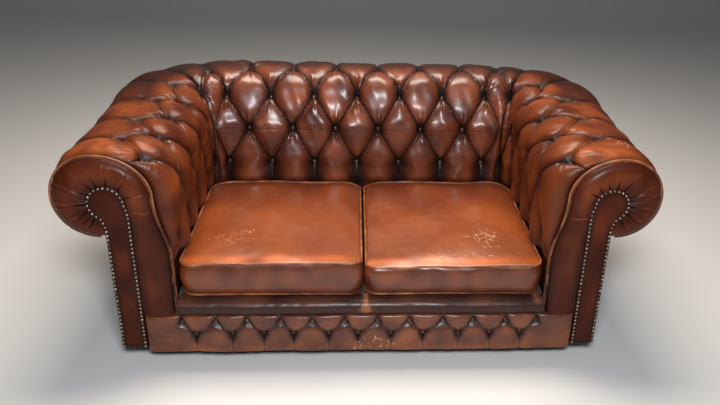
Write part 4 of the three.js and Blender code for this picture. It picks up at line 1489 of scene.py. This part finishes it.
    # The top is darker towards the back and both sides: less wear there, and painted shade.
    wear_and_back_shade = 0.29 - 0.30 * smooth((v + 0.1) / 1.1) - 0.10 * smooth((np.abs(u) - 0.70) / 0.30)
    rub = np.where(top, wear_and_back_shade + 0.07 * ripple(points, 0.25, seed + 5) + 0.70 * front_wear_and_highlight,
                   0.10 + 0.12 * ripple(run, 0.10, seed + 6))
    mark(mesh, fold=fold, rub=rub)
    subdivide = piece.modifiers.new("subdivide", "SUBSURF")
    subdivide.levels = subdivide.render_levels = 1
    take_up(piece)
    bpy.ops.object.modifier_apply(modifier="subdivide")
    finish_piece(piece, side + "_cushion_leather", cushion_leather, "worn_leather", side + "_cushion_cover")

    rim_xy = rest[rim][:, :2]
    away = rim_xy - np.array(centre)[:2]
    away /= np.linalg.norm(away, axis=1, keepdims=True)
    for level_name, line in (("top", rim), ("bottom", n + rim)):
        ring = rest[line] + np.stack([*(away * welt_out).T, np.zeros(len(rim))], 1)
        ring[:, 0] = np.where(np.abs(ring[:, 0]) < 0.012, np.sign(centre.x) * 0.0066, ring[:, 0])
        welt = cord_along(f"{side}_{level_name}_welt", ring, welt_radius, closed=True)
        co = points_of(welt.data)
        # A lighter line along each welt, rubbed wear and partly a painted highlight; on the bottom welt,
        # which is darker, it fades out to the right.
        lit = 0.40 if level_name == "top" else 0.40 - 0.5 * smooth((co[:, 0] - centre.x + 0.02) / 0.1)
        mark(welt.data, fold=np.full(len(co), 0.0 if level_name == "top" else 0.2),
             rub=lit + 0.25 * ripple(co[:, :2], 0.06, seed + 7))
        finish_piece(welt, f"{side}_{level_name}_welt", piping_leather, "worn_leather",
                     f"{side}_cushion_{level_name}_welt")


cushion_leather, tree, shader, skin = hide("worn_leather", (0.022, 0.006, 0.003), (0.115, 0.022, 0.006),
                                           (0.58, 0.128, 0.020), 0.33, grain_depth=0.0008, patchy=0.22,
                                           shine=0.48, coat=0.42)
shader.inputs["Coat Roughness"].default_value = 0.20
scratch(tree, skin, [((-0.400, -0.300, 0.345), (0.120, 0.090, 0.05), 34, 0.024, 0.48),
                     ((-0.350, -0.255, 0.345), (0.050, 0.030, 0.05), 26, 0.030, 0.54),
                     ((0.375, -0.300, 0.345), (0.110, 0.110, 0.05), 40, 0.026, 0.56),
                     ((0.300, -0.385, 0.335), (0.240, 0.040, 0.05), 48, 0.026, 0.46),
                     ((-0.180, -0.400, 0.335), (0.200, 0.030, 0.05), 48, 0.018, 0.34),
                     ((-0.275, -0.425, 0.275), (0.040, 0.030, 0.04), 30, 0.022, 0.46)])
cushion("left", 31)
cushion("right", 41)

zip_brass, tree, shader = new_finish("zip_brass")
teeth = put(tree, "TexWave", {"Vector": put(tree, "TexCoord").outputs["Object"], "Scale": 90},
            wave_type="BANDS", bands_direction="X").outputs["Fac"]
tree.links.new(two_tints(tree, teeth, (0.10, 0.065, 0.03), (0.42, 0.30, 0.14)), shader.inputs["Base Color"])
shader.inputs["Metallic"].default_value = 0.7
shader.inputs["Roughness"].default_value = 0.4
foam_smaller = 0.040     # than the space for it, so that it stays inside the swollen cover
for side in ("left", "right"):
    give(side + "_cushion_zip", zip_brass)
    low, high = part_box(side + "_cushion_core")
    deselect()
    bpy.ops.mesh.primitive_cube_add(size=1, location=(low + high) / 2,
                                    scale=[edge - foam_smaller for edge in high - low])
    core = bpy.context.active_object
    edit_all()
    bpy.ops.mesh.bevel(offset=0.014, segments=3, affect="EDGES")
    stop_editing()
    bpy.ops.object.transform_apply(location=True, rotation=True, scale=True)
    finish_piece(core, side + "_foam_core", white_foam, "foam", side + "_cushion_core")
    bpy.ops.object.shade_smooth_by_angle(angle=math.radians(40))
